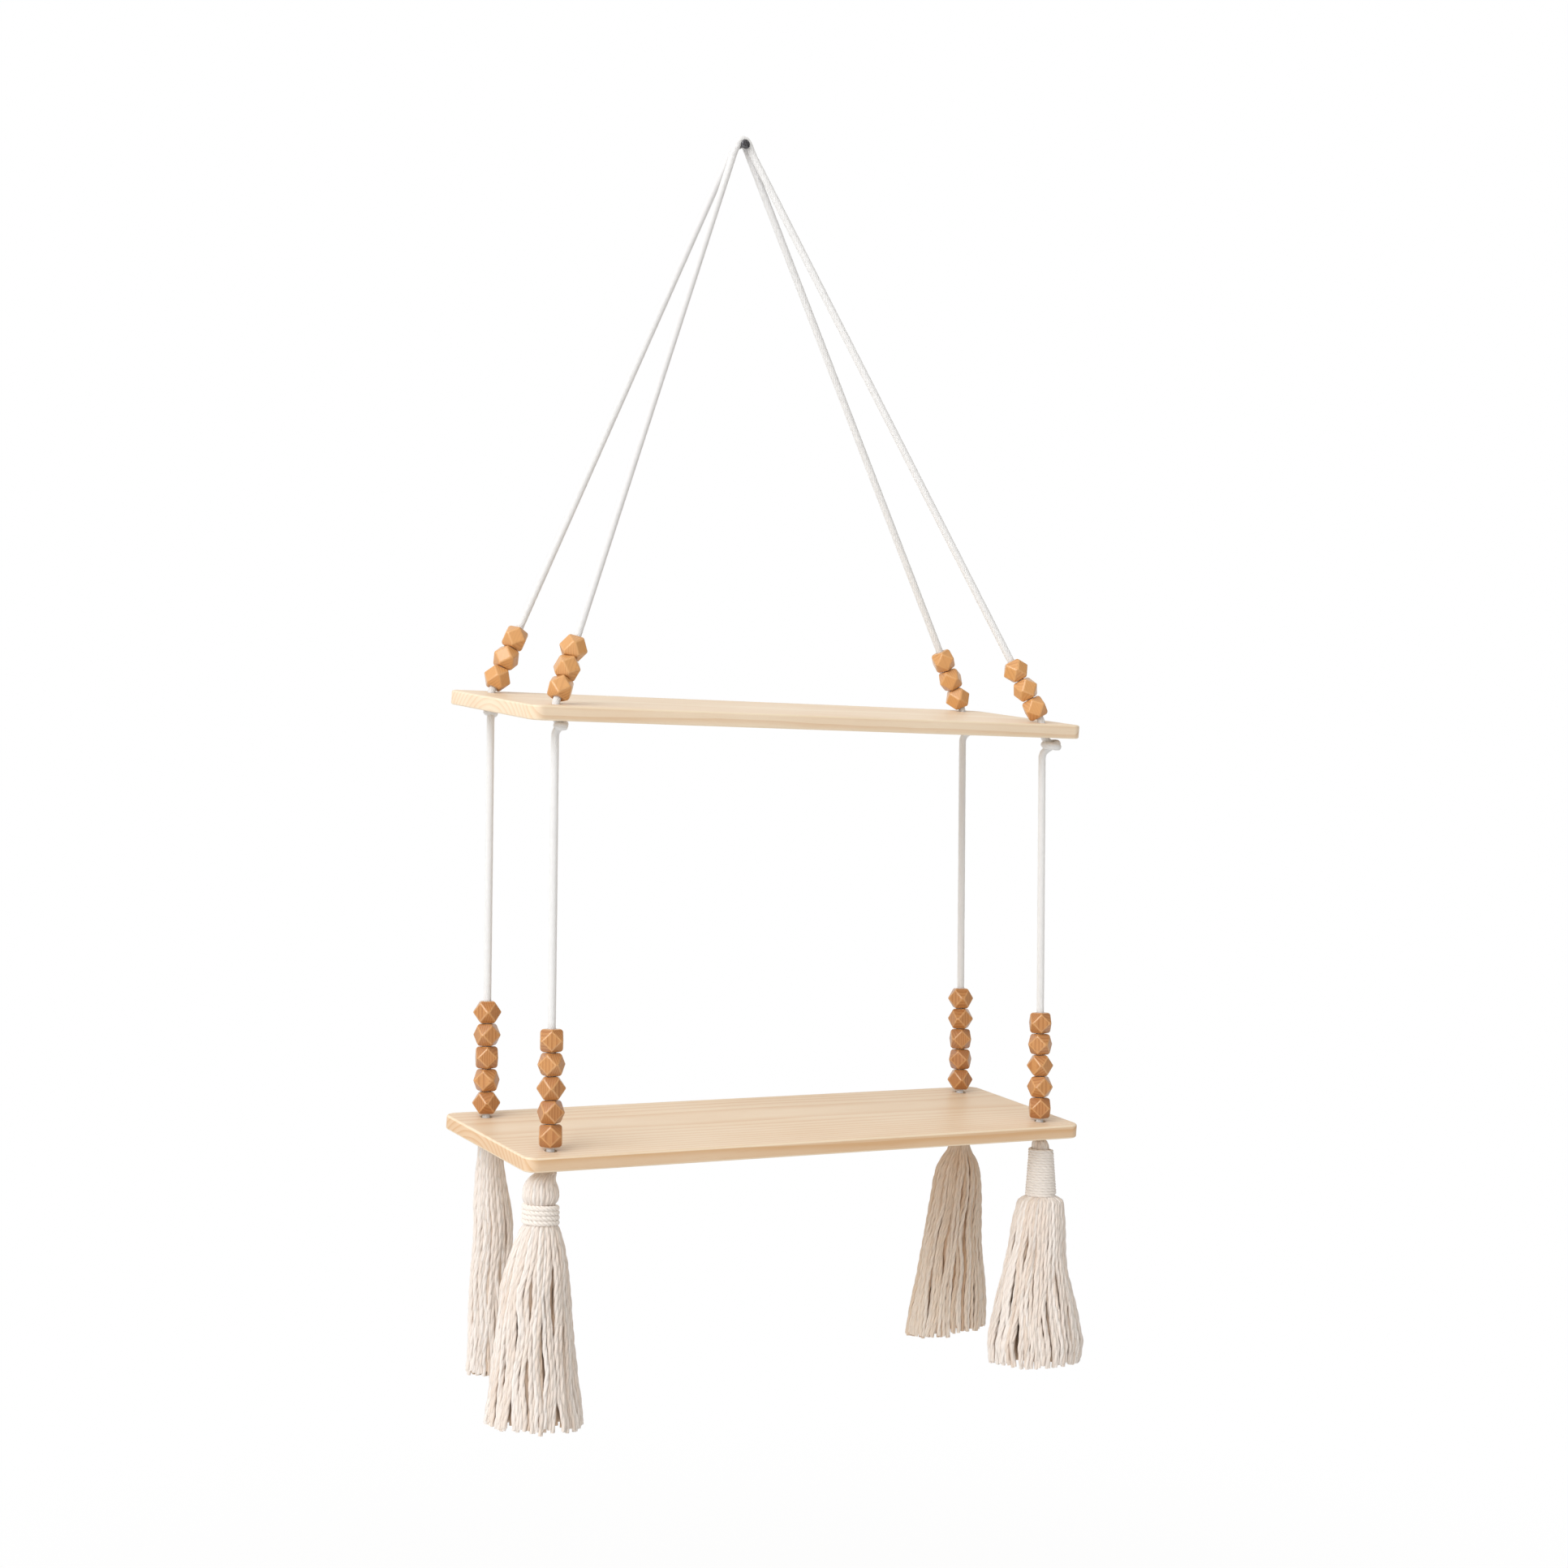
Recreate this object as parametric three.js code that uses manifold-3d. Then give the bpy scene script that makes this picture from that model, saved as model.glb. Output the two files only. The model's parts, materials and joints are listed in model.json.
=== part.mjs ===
// Two-tier hanging shelf on cotton ropes, with faceted wooden beads and cotton tassels.
// Millimetres, +Z up. The origin is where the nail's axis meets the wall.
// +Y goes into the wall, the viewer stands at -Y, and +X is to the viewer's right.
import * as THREE from "three";
import { mergeVertices } from "three/addons/utils/BufferGeometryUtils.js";
import Module from "manifold-3d";

const wasm = await Module();
wasm.setup();

// Boards
const BOARD_LENGTH = 450;
const BOARD_DEPTH = 140;
const BOARD_THICKNESS = 10;
const BOARD_CORNER_RADIUS = 9;
const BOARD_EDGE_CHAMFER = 0.8;
const BOARD_CORNER_SEGMENTS = 6;
const BOARD_LEAN_DEG = 6.8;
const HOLE_FROM_END = 25;
const HOLE_FROM_EDGE = 18;
const HOLE_RADIUS = 4;
const WALL_CLEARANCE = 0.5;

// Heights
const NAIL_TO_UPPER_BOARD = 420;
const TIER_DROP = 295;

// Ropes
const ROPE_RADIUS = 2.5;
const ROPE_SIDES = 8;
const ROPE_STEP = 15;
const ROPE_BEND_REACH = 6;
const ROPE_BEND_STEPS = 4;

// Nail
const NAIL_SHANK_RADIUS = 1.5;
const NAIL_HEAD_RADIUS = 3.5;
const NAIL_HEAD_THICKNESS = 1.6;
const NAIL_HEAD_FLAT_SHARE = 0.7;
const NAIL_LENGTH = 38;
const NAIL_POINT_LENGTH = 5;
const NAIL_SIDES = 16;

// Where the two ropes lie on the nail
const CROWN_FROM_WALL = 11.5;
const CROWN_PITCH = 5.4;
const CROWN_ARC_STEPS = 9;
const LEG_JUNCTION_DROP = 9;
const PULL_OUT_DEG = 20;

// Beads
const BEAD_HEIGHT = 15.3;
const BEAD_BORE_RADIUS = 3.3;
const BEAD_BORE_SIDES = 8;
const BEAD_CORNER_SHARE = 1.85;
const BEAD_PITCH_GAP = 0.4;
const UPPER_BEAD_COUNT = 3;
const LOWER_BEAD_COUNT = 5;
const BEAD_TURN_DEG = 23;
const SWAY_DEG = 8;

// Knots under the upper board
const KNOT_TURN_RADIUS = 4.4;
const KNOT_LEAN_DEG = 24;
const KNOT_TURN_PITCH = 4.2;
const KNOT_OFFSET = 2.2;
const KNOT_SEGMENTS = 12;
const KNOT_SECTION_SIDES = 6;

// Tails that hold the tassels
const TAIL_PIVOT_DROP = 2.8;
const TAIL_KNOT_RADIUS = 5.2;
const TAIL_KNOT_DEPTH = 20;
const TAIL_END_LENGTH = 4;
const TAIL_SIDES = 10;

// Tassels
const TASSEL_TOP_DROP = 1;
const TASSEL_RIM_RADIUS = 4.6;
const TASSEL_STRAND_FOLDS = 18;
const TASSEL_RING_LIP = 1.2;
const TASSELS = {
  rear_left: {
    length: 166,
    headRings: [[8, 8]],
    skirtTopRadius: 10.5,
    skirtRadius: 18.5,
    neckEnd: 28,
    depthShare: 0.75,
    drift: 6,
    driftShare: 0.25,
    hemSlant: -3,
    wrap: null,
    skirtShares: [
      [0.16, 0.36],
      [0.25, 0.45],
      [0.6, 0.76],
      [1, 1],
    ],
  },
  front_left: {
    length: 165,
    headRings: [[5, 8.2]],
    skirtTopRadius: 15.5,
    skirtRadius: 34,
    neckEnd: 19,
    depthShare: 0.9,
    drift: -10,
    driftShare: 0.3,
    hemSlant: -2,
    wrap: {
      loopCount: 3,
      cordRadius: 1.85,
      pitch: 4.2,
      neckRadius: 11.2,
      seatTopRadius: 8.2,
      seatEndRadius: 8.6,
    },
    skirtShares: [
      [0.23, 0.44],
      [0.62, 0.65],
      [1, 1],
    ],
  },
  rear_right: {
    length: 169,
    headRings: [
      [5, 7.2],
      [30, 7.8],
    ],
    skirtTopRadius: 17.5,
    skirtRadius: 36,
    neckEnd: 43,
    depthShare: 0.52,
    drift: -12,
    driftShare: 1,
    hemSlant: 2.5,
    wrap: null,
    skirtShares: [
      [0.09, 0.16],
      [0.28, 0.31],
      [0.55, 0.58],
      [0.82, 0.88],
      [1, 1],
    ],
  },
  front_right: {
    length: 162,
    headRings: [[5, 6.4]],
    skirtTopRadius: 17.5,
    skirtRadius: 37.5,
    neckEnd: 6,
    depthShare: 0.9,
    drift: -3,
    driftShare: 1,
    hemSlant: 0,
    wrap: {
      loopCount: 8,
      cordRadius: 1.9,
      pitch: 4.3,
      neckRadius: 6.4,
      seatTopRadius: 5.4,
      seatEndRadius: 7.9,
    },
    skirtShares: [
      [0.31, 0.35],
      [0.63, 0.7],
      [0.88, 1],
      [1, 0.93],
    ],
  },
};
const WRAP_STEPS_PER_LOOP = 24;
const WRAP_SIDES = 6;

// Clearances and tolerances
const SEAT_GAP = 0.3;
const WRAP_SEAT_GAP = 0.5;
const TAIL_BORE_GAP = 0.5;
const CUT_OVERRUN = 1;
const MERGE_DISTANCE = 1e-4;

// A round end's one step lies at half a right angle
const ROUND_SHARE = Math.SQRT1_2;

// Shares of how far the strand folds stand out, down a tassel, and where it is as flat as its hem
const FOLD_TOP_SHARE = 0.02;
const FOLD_NECK_SHARE = 0.05;
const FOLD_HEM_SHARE = 0.07;
const HEM_NOTCH_SHARE = 0.02;
const FLATTENED_SHARE = 0.5;

// What follows from the sizes above
const LEAN = THREE.MathUtils.degToRad(BOARD_LEAN_DEG);
const HOLE_X = BOARD_LENGTH / 2 - HOLE_FROM_END;
const HOLE_Y = BOARD_DEPTH / 2 - HOLE_FROM_EDGE;
const BOARD_Y = -WALL_CLEARANCE - (BOARD_DEPTH / 2) * Math.cos(LEAN) - BOARD_THICKNESS * Math.sin(LEAN);
const UPPER_Z = -NAIL_TO_UPPER_BOARD;
const LOWER_Z = UPPER_Z - TIER_DROP;
const BOARD_PLUMB = BOARD_THICKNESS / Math.cos(LEAN);
const CROWN_RADIUS = NAIL_SHANK_RADIUS + SEAT_GAP + ROPE_RADIUS;
const NAIL_HEAD_Y = -CROWN_FROM_WALL - CROWN_PITCH - ROPE_RADIUS - SEAT_GAP;
const DOME_RADIUS = ROPE_RADIUS * Math.cos(Math.PI / ROPE_SIDES);
const UP = new THREE.Vector3(0, 0, 1);
const BOARD_NORMAL = UP.clone().applyAxisAngle(new THREE.Vector3(1, 0, 0), LEAN);

// The four ropes' corners: which side and row, and how far round their knots and beads lie
const CORNERS = [
  { name: "rear_left", side: -1, row: 1, turnDeg: 23 },
  { name: "front_left", side: -1, row: -1, turnDeg: 63 },
  { name: "rear_right", side: 1, row: 1, turnDeg: 109 },
  { name: "front_right", side: 1, row: -1, turnDeg: 149 },
];

// Materials
const materials = {
  board: new THREE.MeshStandardMaterial({ color: 0xe8d2ad, roughness: 0.62, metalness: 0 }),
  bead: new THREE.MeshStandardMaterial({ color: 0xc4884f, roughness: 0.5, metalness: 0 }),
  rope: new THREE.MeshStandardMaterial({ color: 0xe9e4da, roughness: 0.95, metalness: 0 }),
  tassel: new THREE.MeshStandardMaterial({ color: 0xeee3d3, roughness: 1, metalness: 0 }),
  nail: new THREE.MeshStandardMaterial({ color: 0x56565a, roughness: 0.4, metalness: 0.9 }),
};

/** The manifold solid of a closed three.js geometry. */
function solid(geometry) {
  const plain = geometry.clone();
  plain.deleteAttribute("normal");
  plain.deleteAttribute("uv");
  const merged = mergeVertices(plain, MERGE_DISTANCE);
  const mesh = new wasm.Mesh({
    numProp: 3,
    vertProperties: merged.attributes.position.array,
    triVerts: Uint32Array.from(merged.index.array),
  });
  return new wasm.Manifold(mesh);
}

/** The three.js geometry of a manifold solid. */
function geometryOf(manifold) {
  const mesh = manifold.getMesh();
  const geometry = new THREE.BufferGeometry();
  geometry.setAttribute("position", new THREE.BufferAttribute(Float32Array.from(mesh.vertProperties), 3));
  geometry.setIndex(new THREE.BufferAttribute(Uint32Array.from(mesh.triVerts), 1));
  geometry.computeVertexNormals();
  return geometry;
}

/** A solid of revolution about Z, from points (radius, height) listed from the bottom up. */
function turned(profile, sides) {
  const geometry = new THREE.LatheGeometry(
    profile.map(([radius, height]) => new THREE.Vector2(radius, height)),
    sides,
  );
  return geometry.rotateX(Math.PI / 2);
}

/** A path for an extrusion that has one section at each listed station. */
class StationPath extends THREE.Curve {
  constructor(stations) {
    super();
    this.stations = stations;
  }

  getPointAt(u, target = new THREE.Vector3()) {
    return target.copy(this.stations[Math.round(u * (this.stations.length - 1))]);
  }

  getTangentAt(u, target = new THREE.Vector3()) {
    const last = this.stations.length - 1;
    const at = Math.round(u * last);
    const before = this.stations[Math.max(at - 1, 0)];
    const here = this.stations[at];
    const after = this.stations[Math.min(at + 1, last)];
    const arriving = here.clone().sub(before).normalize();
    const leaving = after.clone().sub(here).normalize();
    return target.copy(arriving).add(leaving).normalize();
  }
}

/** A round tube with flat ends along the stations. */
function tube(stations, radius, sides) {
  const section = new THREE.Shape();
  for (let side = 0; side < sides; side += 1) {
    const angle = (2 * Math.PI * side) / sides;
    const [x, y] = [radius * Math.cos(angle), radius * Math.sin(angle)];
    if (side === 0) section.moveTo(x, y);
    else section.lineTo(x, y);
  }
  return new THREE.ExtrudeGeometry(section, {
    steps: stations.length - 1,
    extrudePath: new StationPath(stations),
    bevelEnabled: false,
  });
}

/** Evenly spaced points from one point to another, without the last one. */
function straight(from, to, step) {
  const count = Math.max(1, Math.round(from.distanceTo(to) / step));
  return Array.from({ length: count }, (_, k) => from.clone().lerp(to, k / count));
}

/** The point where a rope's axis crosses the top face of the board at the given height. */
function ropeAtBoard(corner, boardZ) {
  const crossing = corner.row * HOLE_Y + (BOARD_THICKNESS / 2) * Math.tan(LEAN);
  return new THREE.Vector3(
    corner.side * HOLE_X,
    BOARD_Y + crossing * Math.cos(LEAN),
    boardZ + crossing * Math.sin(LEAN),
  );
}

/** How a rope leaves the nail towards one corner: its slope, crown end and junction with the leg. */
function crownSide(corner) {
  const foot = ropeAtBoard(corner, UPPER_Z);
  const reach = Math.hypot(foot.x, foot.z);
  const slope = Math.atan2(Math.abs(foot.x), -foot.z) - Math.asin(CROWN_RADIUS / reach);
  const y = -CROWN_FROM_WALL - (corner.row > 0 ? 0 : CROWN_PITCH);
  const along = (distance) =>
    new THREE.Vector3(
      corner.side * (CROWN_RADIUS * Math.cos(slope) + distance * Math.sin(slope)),
      y,
      CROWN_RADIUS * Math.sin(slope) - distance * Math.cos(slope),
    );
  const lift = corner.row > 0 ? 0 : (CROWN_PITCH / 2) * Math.sin(THREE.MathUtils.degToRad(PULL_OUT_DEG));
  return {
    slope,
    y,
    junction: along(LEG_JUNCTION_DROP),
    end: along(LEG_JUNCTION_DROP - ROPE_RADIUS - SEAT_GAP - lift),
  };
}

/** The direction from a corner's hole in the upper board up along its leg. */
function legDirection(corner) {
  return crownSide(corner).junction.clone().sub(ropeAtBoard(corner, UPPER_Z)).normalize();
}

/** How far a bead's middle stands from the board along its rope, clear of the board at any turn. */
function beadSeat(direction, sway) {
  const half = BEAD_HEIGHT / 2;
  const faceRadius = half * (BEAD_CORNER_SHARE - 1);
  const upright = direction.dot(BOARD_NORMAL);
  const tilt = Math.sqrt(1 - upright * upright);
  const rocking = faceRadius * Math.sin(sway) + (BOARD_PLUMB / 2) * (1 - Math.cos(sway));
  return (half * upright + faceRadius * tilt + rocking + SEAT_GAP) / upright;
}

/** The heights of a knot under the upper board, and of the pivot where its link hangs. */
function knotHeights(corner) {
  const lean = THREE.MathUtils.degToRad(KNOT_LEAN_DEG);
  const height = 2 * ROPE_RADIUS + KNOT_TURN_PITCH + 2 * KNOT_TURN_RADIUS * Math.sin(lean);
  const reach = KNOT_TURN_RADIUS + ROPE_RADIUS;
  const top = ropeAtBoard(corner, UPPER_Z).z - BOARD_PLUMB - SEAT_GAP - reach * Math.tan(LEAN);
  const bottom = top - height;
  return { middle: (top + bottom) / 2, bottom, pivot: bottom - SEAT_GAP - ROPE_RADIUS };
}

function makeNail() {
  const front = NAIL_HEAD_Y - NAIL_HEAD_THICKNESS;
  const tip = front + NAIL_LENGTH;
  const profile = [
    [0, front],
    [NAIL_HEAD_RADIUS * NAIL_HEAD_FLAT_SHARE, front],
    [NAIL_HEAD_RADIUS, front + NAIL_HEAD_THICKNESS / 2],
    [NAIL_HEAD_RADIUS, NAIL_HEAD_Y],
    [NAIL_SHANK_RADIUS, NAIL_HEAD_Y],
    [NAIL_SHANK_RADIUS, tip - NAIL_POINT_LENGTH],
    [0, tip],
  ];
  return new THREE.LatheGeometry(
    profile.map(([radius, y]) => new THREE.Vector2(radius, y)),
    NAIL_SIDES,
  );
}

/** A rope's bight over the nail, between its two junctions. */
function makeCrown(row) {
  const left = crownSide({ side: -1, row });
  const right = crownSide({ side: 1, row });
  const arc = Array.from({ length: CROWN_ARC_STEPS + 1 }, (_, k) => {
    const angle = THREE.MathUtils.lerp(Math.PI - left.slope, right.slope, k / CROWN_ARC_STEPS);
    return new THREE.Vector3(CROWN_RADIUS * Math.cos(angle), left.y, CROWN_RADIUS * Math.sin(angle));
  });
  return tube([left.end, ...arc, right.end], ROPE_RADIUS, ROPE_SIDES);
}

/** One turn of a knot, leaning, about a vertical axis. */
function knotTurn(center, lean, turn) {
  const ring = new THREE.TorusGeometry(KNOT_TURN_RADIUS, ROPE_RADIUS, KNOT_SECTION_SIDES, KNOT_SEGMENTS);
  ring.rotateX(lean).rotateZ(turn);
  return ring.translate(center.x, center.y, center.z);
}

/** A leg from the nail through the upper beads and board to the knot under it. */
function makeLeg(corner) {
  const { junction } = crownSide(corner);
  const foot = ropeAtBoard(corner, UPPER_Z);
  const direction = legDirection(corner);
  const bendStart = foot.clone().addScaledVector(direction, ROPE_BEND_REACH);
  const bendEnd = foot.clone().addScaledVector(UP, -ROPE_BEND_REACH);
  const bend = new THREE.QuadraticBezierCurve3(bendStart, foot, bendEnd).getPoints(ROPE_BEND_STEPS);
  const knot = knotHeights(corner);
  const stations = [...straight(junction, bendStart, ROPE_STEP), ...bend, foot.clone().setZ(knot.bottom)];
  const rope = solid(tube(stations, ROPE_RADIUS, ROPE_SIDES));
  const dome = new THREE.SphereGeometry(DOME_RADIUS, ROPE_SIDES, ROPE_SIDES / 2);
  dome.translate(junction.x, junction.y, junction.z);
  const middle = foot.clone().setZ(knot.middle);
  middle.x += KNOT_OFFSET;
  const lean = THREE.MathUtils.degToRad(KNOT_LEAN_DEG);
  const rise = UP.clone().multiplyScalar(KNOT_TURN_PITCH / 2);
  const turn = THREE.MathUtils.degToRad(corner.turnDeg);
  const upperTurn = knotTurn(middle.clone().add(rise), lean, turn);
  const lowerTurn = knotTurn(middle.clone().sub(rise), -lean, turn);
  return geometryOf(rope.add(solid(dome)).add(solid(upperTurn)).add(solid(lowerTurn)));
}

/** A straight rope between two heights with rounded ends, about its own axis. */
function plumbRope(bottom, top) {
  const reach = ROPE_RADIUS * (1 - ROUND_SHARE);
  const low = new THREE.Vector3(0, 0, bottom + ROPE_RADIUS);
  const high = new THREE.Vector3(0, 0, top - ROPE_RADIUS);
  const run = [...straight(low, high, ROPE_STEP), high].map((point) => [ROPE_RADIUS, point.z]);
  const profile = [
    [0, bottom],
    [ROPE_RADIUS * ROUND_SHARE, bottom + reach],
    ...run,
    [ROPE_RADIUS * ROUND_SHARE, top - reach],
    [0, top],
  ];
  return turned(profile, ROPE_SIDES);
}

/** A faceted wooden bead about its own axis. */
function makeBead() {
  const half = BEAD_HEIGHT / 2;
  const cube = solid(new THREE.BoxGeometry(BEAD_HEIGHT, BEAD_HEIGHT, BEAD_HEIGHT));
  const corners = solid(new THREE.OctahedronGeometry(half * BEAD_CORNER_SHARE));
  const drill = new THREE.CylinderGeometry(
    BEAD_BORE_RADIUS,
    BEAD_BORE_RADIUS,
    BEAD_HEIGHT + 2 * CUT_OVERRUN,
    BEAD_BORE_SIDES,
  ).rotateX(Math.PI / 2);
  return geometryOf(cube.intersect(corners).subtract(solid(drill)));
}

/** A board with its top face at z = 0, its rope holes drilled square to it. */
function makeBoard() {
  const x = BOARD_LENGTH / 2 - BOARD_CORNER_RADIUS;
  const y = BOARD_DEPTH / 2 - BOARD_CORNER_RADIUS;
  const radius = BOARD_CORNER_RADIUS - BOARD_EDGE_CHAMFER;
  const quarter = Math.PI / 2;
  const outline = new THREE.Shape();
  outline.absarc(x, y, radius, 0, quarter);
  outline.absarc(-x, y, radius, quarter, 2 * quarter);
  outline.absarc(-x, -y, radius, 2 * quarter, 3 * quarter);
  outline.absarc(x, -y, radius, 3 * quarter, 4 * quarter);
  for (const corner of CORNERS) {
    const hole = new THREE.Path();
    const ring = HOLE_RADIUS + BOARD_EDGE_CHAMFER;
    hole.absarc(corner.side * HOLE_X, corner.row * HOLE_Y, ring, 0, 4 * quarter, true);
    outline.holes.push(hole);
  }
  const board = new THREE.ExtrudeGeometry(outline, {
    depth: BOARD_THICKNESS - 2 * BOARD_EDGE_CHAMFER,
    curveSegments: BOARD_CORNER_SEGMENTS,
    bevelThickness: BOARD_EDGE_CHAMFER,
    bevelSize: BOARD_EDGE_CHAMFER,
    bevelSegments: 1,
  });
  return board.translate(0, 0, BOARD_EDGE_CHAMFER - BOARD_THICKNESS);
}

/** The rope's end below the lower board, with its stopper knot, about the tassel's pivot. */
function makeTail() {
  const bottom = -TAIL_KNOT_DEPTH - TAIL_KNOT_RADIUS - TAIL_END_LENGTH;
  const meet = Math.sqrt(TAIL_KNOT_RADIUS ** 2 - ROPE_RADIUS ** 2);
  const profile = [
    [0, bottom],
    [ROPE_RADIUS, bottom],
    [ROPE_RADIUS, -TAIL_KNOT_DEPTH - meet],
    [TAIL_KNOT_RADIUS * ROUND_SHARE, -TAIL_KNOT_DEPTH - TAIL_KNOT_RADIUS * ROUND_SHARE],
    [TAIL_KNOT_RADIUS, -TAIL_KNOT_DEPTH],
    [TAIL_KNOT_RADIUS * ROUND_SHARE, -TAIL_KNOT_DEPTH + TAIL_KNOT_RADIUS * ROUND_SHARE],
    [ROPE_RADIUS, -TAIL_KNOT_DEPTH + meet],
    [ROPE_RADIUS, 0],
    [ROPE_RADIUS * ROUND_SHARE, ROPE_RADIUS * ROUND_SHARE],
    [0, ROPE_RADIUS],
  ];
  return turned(profile, TAIL_SIDES);
}

/** Where a tassel's wrap starts and ends below its pivot, and its first and last station. */
function wrapSpan(tassel) {
  const start = tassel.neckEnd;
  const first = start + 2 * SEAT_GAP + tassel.wrap.cordRadius;
  const last = first + tassel.wrap.loopCount * tassel.wrap.pitch;
  return { start, first, last, end: last + tassel.wrap.cordRadius + SEAT_GAP };
}

/** How far down a tassel stays round and plumb, for its wrap or for the knot inside it. */
function plumbEnd(tassel) {
  return tassel.wrap ? wrapSpan(tassel).end : TAIL_KNOT_DEPTH + TAIL_KNOT_RADIUS;
}

/** The rings of a tassel's bundle of strands from the top down. */
function tasselRings(tassel) {
  const rings = [
    { depth: TASSEL_TOP_DROP, radius: TASSEL_RIM_RADIUS, fold: 0 },
    ...tassel.headRings.map(([depth, radius]) => ({ depth, radius, fold: FOLD_TOP_SHARE })),
  ];
  let skirtTop = tassel.neckEnd;
  if (tassel.wrap) {
    const span = wrapSpan(tassel);
    skirtTop = span.end + TASSEL_RING_LIP;
    rings.push({ depth: span.start, radius: tassel.wrap.neckRadius, fold: FOLD_NECK_SHARE });
    rings.push({ depth: span.start + SEAT_GAP, radius: tassel.wrap.seatTopRadius, fold: 0 });
    rings.push({ depth: span.end, radius: tassel.wrap.seatEndRadius, fold: 0 });
  }
  rings.push({ depth: skirtTop, radius: tassel.skirtTopRadius, fold: FOLD_NECK_SHARE });
  for (const [downShare, flareShare] of tassel.skirtShares) {
    rings.push({
      depth: THREE.MathUtils.lerp(skirtTop, tassel.length, downShare),
      radius: THREE.MathUtils.lerp(tassel.skirtTopRadius, tassel.skirtRadius, flareShare),
      fold: FOLD_HEM_SHARE,
      hem: downShare,
    });
  }
  return rings;
}

/** A tassel's bundle of strands about its pivot, hollow where the tail and its knot sit. */
function makeTassel(tassel) {
  const sides = 2 * TASSEL_STRAND_FOLDS;
  const rings = tasselRings(tassel);
  const positions = [];
  const plumb = plumbEnd(tassel);
  for (const ring of rings) {
    const down = Math.max(0, (ring.depth - plumb) / (tassel.length - plumb));
    const drift = tassel.drift * Math.min(1, down / tassel.driftShare);
    const flat = THREE.MathUtils.lerp(1, tassel.depthShare, Math.min(1, down / FLATTENED_SHARE));
    for (let side = 0; side < sides; side += 1) {
      const angle = (2 * Math.PI * side) / sides;
      const out = ring.radius * (1 + (side % 2 ? -ring.fold : ring.fold));
      const hem = ring.hem ?? 0;
      const slant = tassel.hemSlant * hem * hem * Math.cos(angle);
      const notch = side % 2 ? HEM_NOTCH_SHARE * tassel.length * hem * hem : 0;
      positions.push(
        out * Math.cos(angle) + drift,
        out * flat * Math.sin(angle),
        -ring.depth + slant + notch,
      );
    }
  }
  positions.push(0, 0, -TASSEL_TOP_DROP);
  positions.push(tassel.drift, 0, -tassel.length * (1 - HEM_NOTCH_SHARE));
  const topCenter = rings.length * sides;
  const hemCenter = topCenter + 1;
  const faces = [];
  for (let side = 0; side < sides; side += 1) {
    const next = (side + 1) % sides;
    faces.push(topCenter, side, next);
    for (let ring = 0; ring < rings.length - 1; ring += 1) {
      const upper = ring * sides;
      const lower = upper + sides;
      faces.push(upper + side, lower + side, upper + next);
      faces.push(upper + next, lower + side, lower + next);
    }
    const hem = (rings.length - 1) * sides;
    faces.push(hemCenter, hem + next, hem + side);
  }
  const bundle = new THREE.BufferGeometry();
  bundle.setAttribute("position", new THREE.Float32BufferAttribute(positions, 3));
  bundle.setIndex(faces);
  return geometryOf(solid(bundle).subtract(tailPocket()));
}

/** The space inside a tassel for its tail and stopper knot. */
function tailPocket() {
  const bore = ROPE_RADIUS + TAIL_BORE_GAP;
  const knot = TAIL_KNOT_RADIUS + TAIL_BORE_GAP;
  const bottom = -TAIL_KNOT_DEPTH - TAIL_KNOT_RADIUS - TAIL_END_LENGTH - SEAT_GAP;
  const meet = Math.sqrt(knot ** 2 - bore ** 2);
  const profile = [
    [0, bottom],
    [bore, bottom],
    [bore, -TAIL_KNOT_DEPTH - meet],
    [knot * ROUND_SHARE, -TAIL_KNOT_DEPTH - knot * ROUND_SHARE],
    [knot, -TAIL_KNOT_DEPTH],
    [knot * ROUND_SHARE, -TAIL_KNOT_DEPTH + knot * ROUND_SHARE],
    [bore, -TAIL_KNOT_DEPTH + meet],
    [bore, CUT_OVERRUN],
    [0, CUT_OVERRUN],
  ];
  return solid(turned(profile, TAIL_SIDES));
}

/** The stations of the cord wound round a tassel's neck, from the top down. */
function wrapStations(tassel) {
  const { loopCount, cordRadius, seatTopRadius, seatEndRadius } = tassel.wrap;
  const span = wrapSpan(tassel);
  const steps = loopCount * WRAP_STEPS_PER_LOOP;
  return Array.from({ length: steps + 1 }, (_, k) => {
    const down = k / steps;
    const depth = THREE.MathUtils.lerp(span.first, span.last, down);
    const along = (depth - span.start) / (span.end - span.start);
    const seat = THREE.MathUtils.lerp(seatTopRadius, seatEndRadius, along);
    const angle = (2 * Math.PI * k) / WRAP_STEPS_PER_LOOP;
    const radius = seat + WRAP_SEAT_GAP + cordRadius;
    return new THREE.Vector3(radius * Math.cos(angle), radius * Math.sin(angle), -depth);
  });
}

/** The least clear distance between a winding's loops, measured between its stations. */
function leastGap(stations, cordRadius) {
  const away = WRAP_STEPS_PER_LOOP / 2;
  let least = Infinity;
  stations.forEach((station, k) => {
    for (let other = k + away; other < stations.length; other += 1) {
      least = Math.min(least, station.distanceTo(stations[other]));
    }
  });
  return least - 2 * cordRadius;
}

const shelf = new THREE.Group();

/** Adds a named mesh to a group and returns it. */
function add(parent, name, geometry, material) {
  const mesh = new THREE.Mesh(geometry, material);
  mesh.name = name;
  parent.add(mesh);
  return mesh;
}

/** Threads a stack of beads on a rope, from the board up. */
function addStack(tier, corner, count, foot, direction, seat) {
  for (let k = 0; k < count; k += 1) {
    const bead = add(shelf, `${tier}_bead_${corner.name}_${k + 1}`, makeBead(), materials.bead);
    bead.position.copy(foot).addScaledVector(direction, seat + k * (BEAD_HEIGHT + BEAD_PITCH_GAP));
    bead.quaternion.setFromUnitVectors(UP, direction);
    bead.rotateZ(THREE.MathUtils.degToRad(corner.turnDeg + BEAD_TURN_DEG * k));
  }
}

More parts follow.
